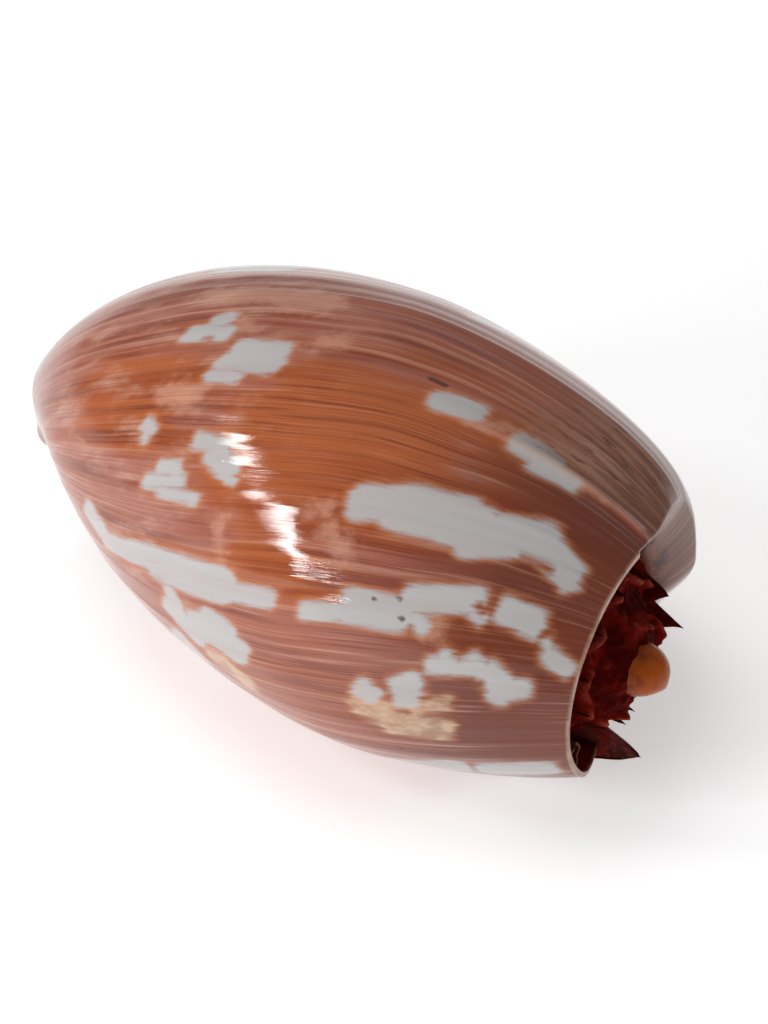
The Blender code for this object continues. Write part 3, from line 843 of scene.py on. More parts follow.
class Tone(Enum):
    """The colours of the shell and its floor, as 8-bit display values."""

    ORANGE = (168, 88, 46)
    DEEP_ORANGE = (148, 68, 32)
    ROSE = (158, 92, 74)
    DARK_LINE = (104, 44, 32)
    DEEP_RED = (92, 34, 18)
    PALE_LINE = (204, 158, 138)
    SALMON = (206, 154, 130)
    WHITE = (181, 178, 177)
    WARM_EDGE = (196, 122, 70)
    CREAM = (204, 174, 144)
    HOOD_BROWN = (98, 50, 26)
    HOOD_PALE = (156, 112, 90)
    DASH = (84, 50, 36)
    FRONT_GREY = (162, 136, 130)
    RIM = (190, 150, 126)
    TAN = (132, 78, 52)
    SPINE_BROWN = (124, 62, 50)
    PORCELAIN = (238, 206, 172)
    PORCELAIN_DEEP = (222, 150, 92)
    MAROON = (110, 20, 13)
    MAROON_DARK = (64, 7, 5)
    # pink of the crown's lumps: partly the crown's own colour, partly painted highlight
    MAROON_PINK = (158, 66, 50)
    AMBER = (168, 78, 18)
    AMBER_DEEP = (116, 40, 8)
    SCAR = (60, 30, 22)
    FLOOR = (244, 244, 244)
    FLOOR_SHADE = (240, 240, 241)

    def linear(self) -> tuple[float, float, float, float]:
        """Give the colour in linear light, with alpha."""
        parts = [((v / 255 + 0.055) / 1.055) ** 2.4 if v > 10 else v / 255 / 12.92 for v in self.value]
        return (*parts, 1.0)


Socket = bpy.types.NodeSocket


@dataclass
class Graph:
    """A node tree with short ways to add the nodes that the finishes use."""

    tree: bpy.types.NodeTree

    def node(self, kind: str, settings: dict | None = None, **inputs: object) -> bpy.types.Node:
        """Add a node.

        Args:
            kind: Blender's name of the node type.
            settings: Properties of the node itself.
            inputs: A socket to link or a value to set for each named input; _ stands for a space.

        Returns:
            The new node.
        """
        made = self.tree.nodes.new(kind)
        for name, value in (settings or {}).items():
            setattr(made, name, value)
        for name, value in inputs.items():
            self.feed(made.inputs[name.replace("_", " ")], value)
        return made

    def feed(self, socket: Socket, value: object) -> None:
        """Link or set one input.

        Args:
            socket: The input.
            value: A socket to link, or a tone or a number to set.
        """
        if isinstance(value, Socket):
            self.tree.links.new(value, socket)
        else:
            socket.default_value = value.linear() if isinstance(value, Tone) else value

    def attribute(self, name: str, output: str = "Fac") -> Socket:
        """Read an attribute of the mesh."""
        return self.node("ShaderNodeAttribute", {"attribute_name": name}).outputs[output]

    def math(self, operation: str, a: object, b: object) -> Socket:
        """Do one sum with two values.

        Args:
            operation: Blender's name of the sum.
            a: The first value or socket.
            b: The second one.

        Returns:
            The result.
        """
        made = self.tree.nodes.new("ShaderNodeMath")
        made.operation = operation
        self.feed(made.inputs[0], a)
        self.feed(made.inputs[1], b)
        return made.outputs[0]

    def plus(self, a: object, b: object) -> Socket:
        """Add two values."""
        return self.math("ADD", a, b)

    def minus(self, a: object, b: object) -> Socket:
        """Take b from a."""
        return self.math("SUBTRACT", a, b)

    def times(self, a: object, b: object) -> Socket:
        """Multiply two values."""
        return self.math("MULTIPLY", a, b)

    def stretch(self, vector: Socket, scale: tuple[float, float, float]) -> Socket:
        """Multiply a vector by a scale of its own for each axis.

        Args:
            vector: The vector.
            scale: What each axis is multiplied by.

        Returns:
            The stretched vector.
        """
        made = self.tree.nodes.new("ShaderNodeVectorMath")
        made.operation = "MULTIPLY"
        self.feed(made.inputs[0], vector)
        made.inputs[1].default_value = scale
        return made.outputs[0]

    def noise(self, vector: Socket, scale: float = 1.0, detail: float = 3.0, rough: float = 0.5) -> Socket:
        """Add cloudy noise from 0 to 1."""
        made = self.node("ShaderNodeTexNoise", None, Vector=vector, Scale=scale, Detail=detail, Roughness=rough)
        return made.outputs["Fac"]

    def grain(
        self, growth: Socket, scale: tuple[float, float], detail: float = 3.0, rough: float = 0.5
    ) -> Socket:
        """Add noise drawn out along the growth lines.

        Args:
            growth: The growth coordinates.
            scale: How fine it is across and along the lines.
            detail: How many finer layers it has.
            rough: How strong the finer layers are.

        Returns:
            Values from 0 to 1.
        """
        return self.noise(self.stretch(growth, (*scale, 1)), 1.0, detail, rough)

    def rise(self, value: object, low: float, high: float) -> Socket:
        """Rise smoothly from 0 at low to 1 at high.

        Args:
            value: The value or socket to look up.
            low: Where the rise begins; it may be above high.
            high: Where it is complete.

        Returns:
            The rise.
        """
        made = self.node("ShaderNodeMapRange", {"interpolation_type": "SMOOTHSTEP"}, Value=value)
        made.inputs["From Min"].default_value = low
        made.inputs["From Max"].default_value = high
        return made.outputs["Result"]

    def blend(self, a: object, b: object, share: object) -> Socket:
        """Mix two colours by a share.

        Args:
            a: The colour at share 0.
            b: The colour at share 1.
            share: The share of b.

        Returns:
            The mixed colour.
        """
        made = self.tree.nodes.new("ShaderNodeMix")
        made.data_type = "RGBA"
        self.feed(made.inputs["Factor"], share)
        self.feed(made.inputs["A"], a)
        self.feed(made.inputs["B"], b)
        return made.outputs["Result"]


class GroupKit:
    """Node groups that more than one finish uses, each built once."""

    def __init__(self) -> None:
        """Build the groups."""
        self.growth = self.growth_lines()
        self.patch = self.ragged_patch()
        self.clouds = self.object_clouds()

    @staticmethod
    def new_group(name: str, ins: dict[str, str], outs: tuple[str, ...]) -> tuple[Graph, bpy.types.Node]:
        """Start a group.

        Args:
            name: Its name.
            ins: Name and socket type of each input.
            outs: Names of its outputs, all plain values.

        Returns:
            The graph to fill and the node that gives the inputs.
        """
        tree = bpy.data.node_groups.new(name, "ShaderNodeTree")
        for label, kind in ins.items():
            tree.interface.new_socket(name=label, in_out="INPUT", socket_type=kind)
        for label in outs:
            tree.interface.new_socket(name=label, in_out="OUTPUT", socket_type="NodeSocketFloat")
        return Graph(tree), tree.nodes.new("NodeGroupInput")

    @staticmethod
    def close_group(graph: Graph, outs: dict[str, Socket]) -> bpy.types.NodeTree:
        """Link a group's outputs and hand it over.

        Args:
            graph: The filled graph.
            outs: The socket for each output.

        Returns:
            The group.
        """
        end = graph.tree.nodes.new("NodeGroupOutput")
        for label, socket in outs.items():
            graph.tree.links.new(socket, end.inputs[label])
        return graph.tree

    def growth_lines(self) -> bpy.types.NodeTree:
        """Lines that follow the growing edge, in three widths, and a relief made of them.

        Returns:
            The group.
        """
        outs = ("Broad", "Middle", "Fine", "Relief")
        graph, start = self.new_group("growth_lines", {"Growth": "NodeSocketVector"}, outs)
        bend = graph.grain(start.outputs["Growth"], (3, 2), 1.0)
        bend = graph.times(graph.minus(bend, 0.5), 0.035)
        moved = graph.node("ShaderNodeCombineXYZ", None, X=bend)
        growth = graph.tree.nodes.new("ShaderNodeVectorMath")
        graph.feed(growth.inputs[0], start.outputs["Growth"])
        graph.feed(growth.inputs[1], moved.outputs[0])
        growth = growth.outputs[0]
        broad = graph.grain(growth, (13, 0.8), 2.0)
        middle = graph.grain(growth, (52, 0.9), 3.0, 0.6)
        fine = graph.grain(growth, (190, 1.5), 3.0, 0.65)
        relief = graph.plus(graph.times(middle, 0.6), graph.times(fine, 0.4))
        return self.close_group(graph, {"Broad": broad, "Middle": middle, "Fine": fine, "Relief": relief})

    def ragged_patch(self) -> bpy.types.NodeTree:
        """A patch whose ends are stepped from one growth line to the next, from a distance in millimetres.

        Returns:
            The group.
        """
        ins = {"Distance": "NodeSocketFloat", "Growth": "NodeSocketVector", "Step": "NodeSocketFloat"}
        graph, start = self.new_group("ragged_patch", ins, ("Mask", "Border"))
        growth = start.outputs["Growth"]
        steps = graph.grain(growth, (30, 3.0), 2.0, 0.6)
        grain = graph.grain(growth, (90, 14), 2.0, 0.6)
        shift = graph.times(graph.minus(steps, 0.5), start.outputs["Step"])
        shift = graph.plus(shift, graph.times(graph.minus(grain, 0.5), 2.6))
        moved = graph.plus(start.outputs["Distance"], shift)
        mask = graph.rise(moved, -1.5, 1.2)
        border = graph.minus(graph.rise(moved, -2.8, -0.4), mask)
        return self.close_group(graph, {"Mask": mask, "Border": border})

    def object_clouds(self) -> bpy.types.NodeTree:
        """Cloudy noise from 0 to 1 in the piece's own space.

        Returns:
            The group.
        """
        ins = {"Scale": "NodeSocketFloat", "Detail": "NodeSocketFloat", "Roughness": "NodeSocketFloat"}
        graph, start = self.new_group("object_clouds", ins, ("Value",))
        where = graph.node("ShaderNodeTexCoord").outputs["Object"]
        settings = {label: start.outputs[label] for label in ins}
        made = graph.node("ShaderNodeTexNoise", None, Vector=where, **settings)
        return self.close_group(graph, {"Value": made.outputs["Fac"]})

    def cloud(self, graph: Graph, scale: float, detail: float, rough: float = 0.5) -> Socket:
        """Add the clouds to a finish.

        Args:
            graph: The finish's node tree.
            scale: How fine the clouds are.
            detail: How many finer layers they have.
            rough: How strong the finer layers are.

        Returns:
            The value of the clouds.
        """
        settings = {"Scale": scale, "Detail": detail, "Roughness": rough}
        return graph.node("ShaderNodeGroup", {"node_tree": self.clouds}, **settings).outputs["Value"]


@dataclass(frozen=True)
class OutsideGlaze:
    """The glossy outside: orange and rose in growth lines, with white, cream and salmon patches."""

    name: str = "glazed_outside"
    roughness: float = 0.03

    def make(self, kit: GroupKit) -> bpy.types.Material:
        """Make the material.

        Args:
            kit: The shared node groups.

        Returns:
            The material.
        """
        material = bpy.data.materials.new(self.name)
        material.use_nodes = True
        graph = Graph(material.node_tree)
        growth = graph.attribute("growth", "Vector")
        lines = graph.node("ShaderNodeGroup", {"node_tree": kit.growth}, Growth=growth).outputs
        colour = self.ground(graph, growth, lines)
        colour = self.patches(graph, kit, growth, lines, colour)
        colour = self.ends(graph, kit, growth, colour)
        shader = graph.tree.nodes["Principled BSDF"]
        graph.feed(shader.inputs["Base Color"], colour)
        rough = graph.plus(self.roughness, graph.times(lines["Fine"], 0.06))
        graph.feed(shader.inputs["Roughness"], graph.plus(rough, graph.times(graph.attribute("recess"), 0.3)))
        bump = graph.node("ShaderNodeBump", None, Height=lines["Relief"], Strength=0.3, Distance=0.0004)
        graph.feed(shader.inputs["Normal"], bump.outputs["Normal"])
        return material

    def ground(self, graph: Graph, growth: Socket, lines: object) -> Socket:
        """Paint the brown ground and its growth lines.

        Args:
            graph: The finish's node tree.
            growth: The growth coordinates.
            lines: The outputs of the growth lines' group.

        Returns:
            The colour of the ground.
        """
        swing = graph.times(graph.minus(lines["Broad"], 0.5), 1.7)
        rosy = graph.plus(graph.attribute("rosy"), swing)
        colour = graph.blend(Tone.ORANGE, Tone.ROSE, graph.rise(rosy, 0.55, 1.1))
        colour = graph.blend(colour, Tone.DEEP_ORANGE, graph.times(graph.rise(lines["Broad"], 0.52, 0.34), 0.7))
        # deeper red towards the rim end, away from the lamps: partly the shell's own deep red, partly painted
        # shade
        colour = graph.blend(colour, Tone.DEEP_RED, graph.times(graph.attribute("deep"), 0.8))
        dense = graph.rise(graph.grain(growth, (6, 3), 2.0), 0.36, 0.62)
        dense = graph.plus(0.3, graph.times(dense, 0.7))
        dark = graph.times(graph.rise(lines["Middle"], 0.5, 0.38), graph.times(dense, 0.6))
        colour = graph.blend(colour, Tone.DARK_LINE, dark)
        dark = graph.times(graph.rise(lines["Fine"], 0.47, 0.38), graph.times(dense, 0.5))
        colour = graph.blend(colour, Tone.DARK_LINE, dark)
        pale = graph.times(graph.rise(lines["Middle"], 0.54, 0.68), graph.rise(rosy, 0.3, 0.9))
        colour = graph.blend(colour, Tone.PALE_LINE, graph.times(pale, 0.42))
        pale = graph.times(graph.rise(lines["Fine"], 0.57, 0.7), 0.2)
        colour = graph.blend(colour, Tone.PALE_LINE, pale)
        dabs = graph.grain(growth, (11, 6), 3.0, 0.55)
        grain = graph.plus(0.25, graph.times(graph.rise(lines["Fine"], 0.4, 0.62), 0.5))
        dabs = graph.times(graph.rise(dabs, 0.45, 0.75), grain)
        return graph.blend(colour, Tone.PALE_LINE, graph.times(dabs, graph.attribute("mottled")))

    def patches(self, graph: Graph, kit: GroupKit, growth: Socket, lines: object, colour: Socket) -> Socket:
        """Paint the salmon, cream and white patches over the ground.

        Args:
            graph: The finish's node tree.
            kit: The shared node groups.
            growth: The growth coordinates.
            lines: The outputs of the growth lines' group.
            colour: The colour so far.

        Returns:
            The colour with the patches.
        """

        def patch(field_name: str, step: float) -> dict[str, Socket]:
            """The mask and the border of one kind of patch.

            Args:
                field_name: The attribute with the distance inside the patches.
                step: How far their ends are stepped, in millimetres.

            Returns:
                The outputs of the patch's group.
            """
            made = graph.node(
                "ShaderNodeGroup",
                {"node_tree": kit.patch},
                Distance=graph.attribute(field_name),
                Growth=growth,
                Step=step,
            )
            return made.outputs

        cloud = graph.grain(growth, (22, 14), 4.0, 0.65)
        salmon = graph.plus(graph.attribute("salmon"), graph.times(graph.minus(cloud, 0.5), 16.0))
        salmon = graph.times(graph.rise(salmon, -2.5, 4.0), graph.plus(0.3, graph.times(lines["Fine"], 0.4)))
        colour = graph.blend(colour, Tone.SALMON, salmon)
        cream = patch("cream", 8.0)
        colour = graph.blend(colour, Tone.WARM_EDGE, graph.times(cream["Border"], 0.3))
        cloud = graph.rise(graph.grain(growth, (20, 12), 3.0, 0.55), 0.36, 0.62)
        cloud = graph.plus(0.4, graph.times(cloud, 0.45))
        colour = graph.blend(colour, Tone.CREAM, graph.times(cream["Mask"], cloud))
        white = patch("white", 3.4)
        colour = graph.blend(colour, Tone.WARM_EDGE, graph.times(white["Border"], 0.4))
        veil = graph.plus(0.9, graph.times(graph.rise(lines["Broad"], 0.4, 0.6), 0.1))
        return graph.blend(colour, Tone.WHITE, graph.times(white["Mask"], veil))

    def ends(self, graph: Graph, kit: GroupKit, growth: Socket, colour: Socket) -> Socket:
        """Paint the hood, the front end, the rim, the scars and the wall of the spire's recess. The hood
        darkens towards its spire end as painted shade, and the recess wall's dark maroon is partly painted
        shade.

        Args:
            graph: The finish's node tree.
            kit: The shared node groups.
            growth: The growth coordinates.
            colour: The colour so far.

        Returns:
            The colour with all of these.
        """
        hood = graph.attribute("hood")
        streaks = graph.grain(growth, (34, 3), 3.0, 0.6)
        # painted shade: the hood's streaks turn browner towards its spire end
        streaks = graph.plus(streaks, graph.times(graph.attribute("hood_end_shade"), -0.14))
        brown = graph.blend(Tone.HOOD_BROWN, Tone.HOOD_PALE, graph.rise(streaks, 0.32, 0.6))
        colour = graph.blend(colour, brown, graph.times(hood, 0.8))
        colour = graph.blend(colour, Tone.PALE_LINE, graph.times(graph.attribute("fold"), 0.45))
        dashes = graph.grain(growth, (70, 14), 2.0, 0.5)
        dashes = graph.times(graph.rise(dashes, 0.58, 0.66), graph.times(hood, 0.8))
        colour = graph.blend(colour, Tone.DASH, dashes)
        colour = graph.blend(colour, Tone.FRONT_GREY, graph.times(graph.attribute("front"), 0.75))
        cloud = kit.cloud(graph, 150.0, 4.0, 0.6)
        # the recess wall: the crown's maroon, darkened as painted shade
        wall = graph.blend(Tone.MAROON_DARK, Tone.MAROON, graph.rise(cloud, 0.35, 0.6))
        tan = graph.times(graph.attribute("tan"), graph.rise(cloud, 0.32, 0.58))
        wall = graph.blend(wall, Tone.TAN, tan)
        colour = graph.blend(colour, wall, graph.attribute("recess"))
        colour = graph.blend(colour, Tone.RIM, graph.times(graph.attribute("rim"), graph.rise(cloud, 0.2, 0.7)))
        scar = graph.rise(graph.attribute("scar"), -0.5, 0.3)
        return graph.blend(colour, Tone.SCAR, graph.times(scar, 0.75))


@dataclass(frozen=True)
class Glaze:
    """A simple finish of two tones in clouds, glossy or dull."""

    name: str
    tone: Tone
    other: Tone
    scale: float = 60.0
    roughness: float = 0.3
    coat: float = 0.5

    def make(self, kit: GroupKit) -> bpy.types.Material:
        """Make the material.

        Args:
            kit: The shared node groups.

        Returns:
            The material.
        """
        material = bpy.data.materials.new(self.name)
        material.use_nodes = True
        graph = Graph(material.node_tree)
        cloud = kit.cloud(graph, self.scale, 3.0)
        shader = graph.tree.nodes["Principled BSDF"]
        colour = graph.blend(self.tone, self.other, graph.rise(cloud, 0.35, 0.65))
        graph.feed(shader.inputs["Base Color"], colour)
        shader.inputs["Roughness"].default_value = self.roughness
        shader.inputs["Coat Weight"].default_value = self.coat
        return material


@dataclass(frozen=True)
class CrownGlaze:
    """The finish of the spire's pieces: three tones from the hollows up to the lumps, in clouds. On the older
    whorls the dark tone in the hollows is partly painted shade, and the pink on the lumps is partly painted
    highlight.
    """

    name: str
    low: Tone
    middle: Tone
    high: Tone
    roughness: float = 0.5
    ior: float = 1.04

    def make(self, kit: GroupKit) -> bpy.types.Material:
        """Make the material.

        Args:
            kit: The shared node groups.

        Returns:
            The material.
        """
        material = bpy.data.materials.new(self.name)
        material.use_nodes = True
        graph = Graph(material.node_tree)
        cloud = kit.cloud(graph, 130.0, 4.0, 0.6)
        grain = kit.cloud(graph, 700.0, 2.0)
        lift = graph.plus(graph.attribute("lift"), graph.times(graph.minus(cloud, 0.5), 1.6))
        colour = graph.blend(self.low, self.middle, graph.rise(lift, 0.05, 0.5))
        colour = graph.blend(colour, self.high, graph.rise(lift, 0.45, 0.95))
        colour = graph.blend(colour, self.low, graph.times(graph.rise(grain, 0.5, 0.3), 0.5))
        shader = graph.tree.nodes["Principled BSDF"]
        graph.feed(shader.inputs["Base Color"], colour)
        shader.inputs["Roughness"].default_value = self.roughness
        shader.inputs["IOR"].default_value = self.ior
        bump = graph.node("ShaderNodeBump", None, Height=grain, Strength=0.3, Distance=0.0003)
        graph.feed(shader.inputs["Normal"], bump.outputs["Normal"])
        return material


Stroke = tuple[float, float, float, float, float]


@dataclass(frozen=True)
class Markings:
    """Where the patches lie: strokes of (streak, length) to (streak, length) with a half width.

    A streak is an angle back at mid length, in degrees; a length is millimetres from mid length towards the
    apex; a half width is in millimetres. The side that the photograph doesn't show gets strokes of its own.
    """

    form: ShellForm
    white: tuple[Stroke, ...] = (
        (160.5, 43, 157, 73, 5.7), (160, 54, 160, 77, 7.7), (163, 76, 156.5, 95, 6.7),
        (158.5, 96, 164.5, 105, 4.9), (162, 102, 168.5, 106, 3), (128, 47, 127, 58, 4.6),
        (130, 73, 130, 84, 4.5), (134, 80, 133.5, 92, 2.9), (121, -19, 122, -5, 4.3),
        (125, -21, 126.5, -4, 4.1), (130, -23, 130.5, -13, 2.4), (115, -39, 115.5, -27, 3.8),
        (110.5, -34, 110, -30, 3.3), (143, -37, 146, -34, 2.3), (148.5, -36, 147, -35, 2.1),
        (148.5, -16, 150, -5, 2.7), (152, -9, 156, 0, 3.7), (158, -1, 159, 2, 1.5), (156, -26, 156, -19, 2.4),
        (160.5, -30, 160, -16, 2.5), (163, -23, 164.5, -9, 2), (176.5, -56, 184.5, -47, 3.7),
        (187.5, -46, 184.5, -23, 4.3), (186, -22, 187.5, 8, 6.2), (188.5, 8, 189, 25, 2.9),
        (195, -15, 199.5, -12, 3.3), (203.5, -5, 209.5, 15, 5.2), (199.5, 1, 203, 10, 4.7),
        (201.5, -16, 210.5, -3, 4.4), (218.5, -16, 227.5, -7, 5), (190.5, 37, 189.5, 50, 3.2),
        (188, 50, 189, 66, 5.5), (184, 67, 181.5, 85, 4.3), (185, 85, 187, 88, 2), (188.5, 69, 192, 73, 2.1),
        (182.5, 93, 184, 102, 4.2), (187, 99, 188, 103, 1.9), (194.5, 108, 199.5, 114, 2.8),
        (189.5, 106, 196, 109, 1.4), (213, 57, 216, 61, 3.4), (212.5, 69, 210.5, 73, 4.8),
        (216.5, 69, 216.5, 73, 3.3), (203.5, 77, 202.5, 91, 2.9), (199.5, 80, 200.5, 82, 2),
        (200, 88, 199, 89, 1.8), (203.5, 93, 210, 99, 3.9), (211.5, 96, 209, 104, 3.5), (215, 97, 215, 99, 1.3),
        (260, 61, 255, 83, 6), (257, 91, 255.5, 110, 5.4),
    )
    cream: tuple[Stroke, ...] = (
        (219.5, 57, 226, 69, 4.9), (227.5, 66, 229, 82, 5.2), (221, 73, 217.5, 83, 2.9),
        (215.5, 2, 224.5, 15, 4.2),
    )
    islands: tuple[Stroke, ...] = (
        (165, 91, 165.5, 100, 1.6), (211, 77, 211.5, 83, 2.6), (210, 89, 209.5, 92, 2.5),
        (182.5, 86, 184.5, 88, 1.3), (117, -33, 117.5, -31, 1.4), (198.5, 83, 199.5, 85, 1.3),
    )
    salmon: tuple[Stroke, ...] = (
        (97.5, -46, 101, -7, 5.9), (102.5, -17, 104, -3, 5.1), (117.5, 3, 117, 11, 3.8),
        (110.5, -26, 115, -19, 2.6), (135, -36, 137, -23, 4.8), (166.5, 36, 175.5, 46, 3.5),
        (164.5, 30, 164, 36, 3.2), (170, 1, 182.5, 7, 2.1), (129, 84, 130, 99, 2.4), (126, 72, 127, 82, 3),
        (124, 88, 125, 97, 2.2), (119, 89, 116, 108, 7.1), (127.5, 67, 128.5, 72, 3.3),
        (131, 58, 129.5, 64, 3.1), (195, 76, 189.5, 77, 2.9),
    )
    orange: tuple[Stroke, ...] = (
        (148, 4, 141.5, 50, 14.6), (137, 11, 140, 32, 10), (134.5, -60, 136, -39, 10.7),
        (178.5, 14, 181.5, 30, 5), (133, 69, 147, 86, 4.7), (188, 77, 189.5, 110, 2.1),
        (142.5, 80, 154.5, 109, 5.5), (227, 99, 236, 111, 6.2),
    )
    scars: tuple[Stroke, ...] = (
        (122, 40, 122.6, 46, 0.8), (185, 56.5, 185.6, 57.5, 0.5), (183.9, 63.5, 184.6, 64.5, 0.6),
        (189.4, 65.5, 190.2, 66.8, 0.7), (241.6, 66.5, 241.8, 67.6, 0.6),
    )
    unseen_count: int = 34
    unseen_seed: int = 7

    def unseen(self) -> tuple[Stroke, ...]:
        """Strokes for the sides that the photograph doesn't show.

        Returns:
            The strokes, the same in each run.
        """
        rng = np.random.default_rng(self.unseen_seed)
        strokes = []
        for _ in range(self.unseen_count):
            streak = rng.choice([rng.uniform(-10, 88), rng.uniform(268, 340)])
            length = rng.uniform(-75, 88)
            reach = rng.uniform(4, 20)
            lean = rng.uniform(-2, 2)
            strokes.append((streak, length, streak + lean, length + reach, rng.uniform(2.5, 7)))
        return tuple(strokes)

    def distance(self, strokes: tuple[Stroke, ...], streak: np.ndarray, length: np.ndarray) -> np.ndarray:
        """Measure how far each place is inside a set of strokes.

        Args:
            strokes: The strokes.
            streak: Streak of each place, in degrees.
            length: Length of each place, in millimetres from mid length.

        Returns:
            Millimetres inside the nearest stroke's edge, negative outside.
        """
        best = np.full_like(streak, -60.0)
        for start_s, start_l, end_s, end_l, half in strokes:
            mid_s, mid_l = (start_s + end_s) / 2, (start_l + end_l) / 2
            edge = np.array([mid_l - 2, mid_l, mid_l + 2])
            back, height = mid_s - self.form.line_skew * edge, self.form.line_middle + edge * MM
            radius = self.form.whorl_radius(back, height) / MM
            per_degree = radius[1] * math.pi / 180
            per_mm = math.hypot(1, (radius[2] - radius[0]) / 4)
            reach = np.array([(end_l - start_l) * per_mm, (end_s - start_s) * per_degree])
            size = max(float(np.hypot(*reach)), 1e-6)
            unit = reach / size
            x, y = (length - mid_l) * per_mm, (streak - mid_s) * per_degree
            along = np.abs(x * unit[0] + y * unit[1]) - max(size / 2 - 0.4 * half, 0)
            aside = np.abs(y * unit[0] - x * unit[1])
            away = (np.maximum(along, 0) ** 3 + aside**3) ** (1 / 3)
            best = np.maximum(best, half - away)
        return best


@dataclass
class BodyDresser:
    """Writes on the body whorl where growth lines and patches lie, and which faces are inside."""

    form: ShellForm
    markings: Markings
    inside_depth: float = 0.9 * MM

    def places(self, points: np.ndarray) -> tuple[np.ndarray, np.ndarray, np.ndarray]:
        """Find angle back, radius and height of points about the shell's axis.

        Args:
            points: One point per row.

        Returns:
            Angle back, radius and height of each.
        """
        radius, height = np.hypot(points[:, 0], points[:, 1]), points[:, 2]
        back = np.degrees(np.arctan2(points[:, 1], points[:, 0])) % TURN
        near_lip = (back < 0.5) | (back > 359.5)
        turned = self.form.whorl_radius(np.full_like(back, TURN), height)
        at_lip = self.form.whorl_radius(np.zeros_like(back), height)
        inner = np.abs(radius - turned) < np.abs(radius - at_lip)
        return np.where(near_lip, np.where(inner, TURN, 0.0), back), radius, height

    def put(self, data: bpy.types.Mesh, name: str, values: np.ndarray) -> None:
        """Store one value, or one vector, for each vertex."""
        kind, key = ("FLOAT_VECTOR", "vector") if values.ndim == 2 else ("FLOAT", "value")
        attribute = data.attributes.new(name, kind, "POINT")
        attribute.data.foreach_set(key, values.astype(np.float32).ravel())

    def dress(self, body: bpy.types.Object) -> None:
        """Write every attribute that the outside's finish reads, and give the inside and recess their slots.

        Args:
            body: The body whorl in the shell's own frame.
        """
        data, marks, form = body.data, self.markings, self.form
        points = np.zeros(len(data.vertices) * 3)
        data.vertices.foreach_get("co", points)
        back, radius, height = self.places(points.reshape(-1, 3))
        length = (height - form.line_middle) / MM
        streak = back + form.line_skew * length
        self.put(data, "growth", np.stack([streak, length, np.zeros_like(streak)], -1) / 100)
        white = marks.distance(marks.white + marks.unseen(), streak, length)
        islands = marks.distance(marks.islands, streak, length)
        self.put(data, "white", np.minimum(white, np.maximum(-islands, white - 60 * (islands > -4))))
        self.put(data, "cream", marks.distance(marks.cream, streak, length))
        self.put(data, "salmon", marks.distance(marks.salmon, streak, length))
        orange = marks.distance(marks.orange, streak, length)
        self.put(data, "rosy", 1 - 0.75 * ease(-14, 6, orange))
        self.put(data, "scar", marks.distance(marks.scars, streak, length))
        self.put(data, "mottled", ease(35, -30, length) * ease(-110, -85, length))
        above = ease(168, 212, height / MM)
        self.put(data, "hood", ease(form.fold_line + 2, form.fold_line - 4, streak) * above * ease(-4, 1, back))
        # painted shade on the hood, rising towards its spire end
        self.put(data, "hood_end_shade", ease(203, 226, height / MM))
        crease = np.exp(-(((streak - form.fold_line - 0.4) / 0.7) ** 2))
        self.put(data, "fold", crease * ease(150, 190, height / MM))
        self.put(data, "front", ease(34, 6, height / MM))
        below_rim = (form.rim_height(back) - height) / MM
        outside = ease(-1.2, -0.5, (radius - form.rim_radius(back)) / MM)
        along_rim = ease(98, 112, back)
        self.put(data, "rim", ease(1.0, 0.2, below_rim) * along_rim)
        # deep: partly the shell's own deep red, partly painted shade towards the rim end
        self.put(data, "deep", ease(75, 22, below_rim) * ease(form.fold_line - 1, form.fold_line + 4, streak))
        recess = (1 - outside) * along_rim + (1 - along_rim) * ease(44, 38, radius / MM)
        recess = recess * ease(form.spire_floor / MM - 1.5, form.spire_floor / MM - 0.5, height / MM)
        self.put(data, "recess", recess)
        tan = ease(13, 3, below_rim) * ease(205, 215, back) * ease(236, 226, back) + ease(96, 80, back)
        self.put(data, "tan", tan)
        in_recess = (recess > 0.5) & (tan < 0.2)
        centres = np.zeros(len(data.polygons) * 3)
        data.polygons.foreach_get("center", centres)
        back, radius, height = self.places(centres.reshape(-1, 3))
        depth = form.whorl_radius(back, height) - radius
        inside = (depth > self.inside_depth) & (height < form.hollow_top + 0.5 * MM)
        corners = np.zeros(len(data.loops), np.int32)
        data.loops.foreach_get("vertex_index", corners)
        starts = np.zeros(len(data.polygons), np.int32)
        data.polygons.foreach_get("loop_start", starts)
        recessed = np.logical_and.reduceat(in_recess[corners], starts)
        slots = np.where(inside, INSIDE_SLOT, OUTSIDE_SLOT)
        slots = np.where(recessed, RECESS_SLOT, slots)
        data.polygons.foreach_set("material_index", slots.astype(np.int32))


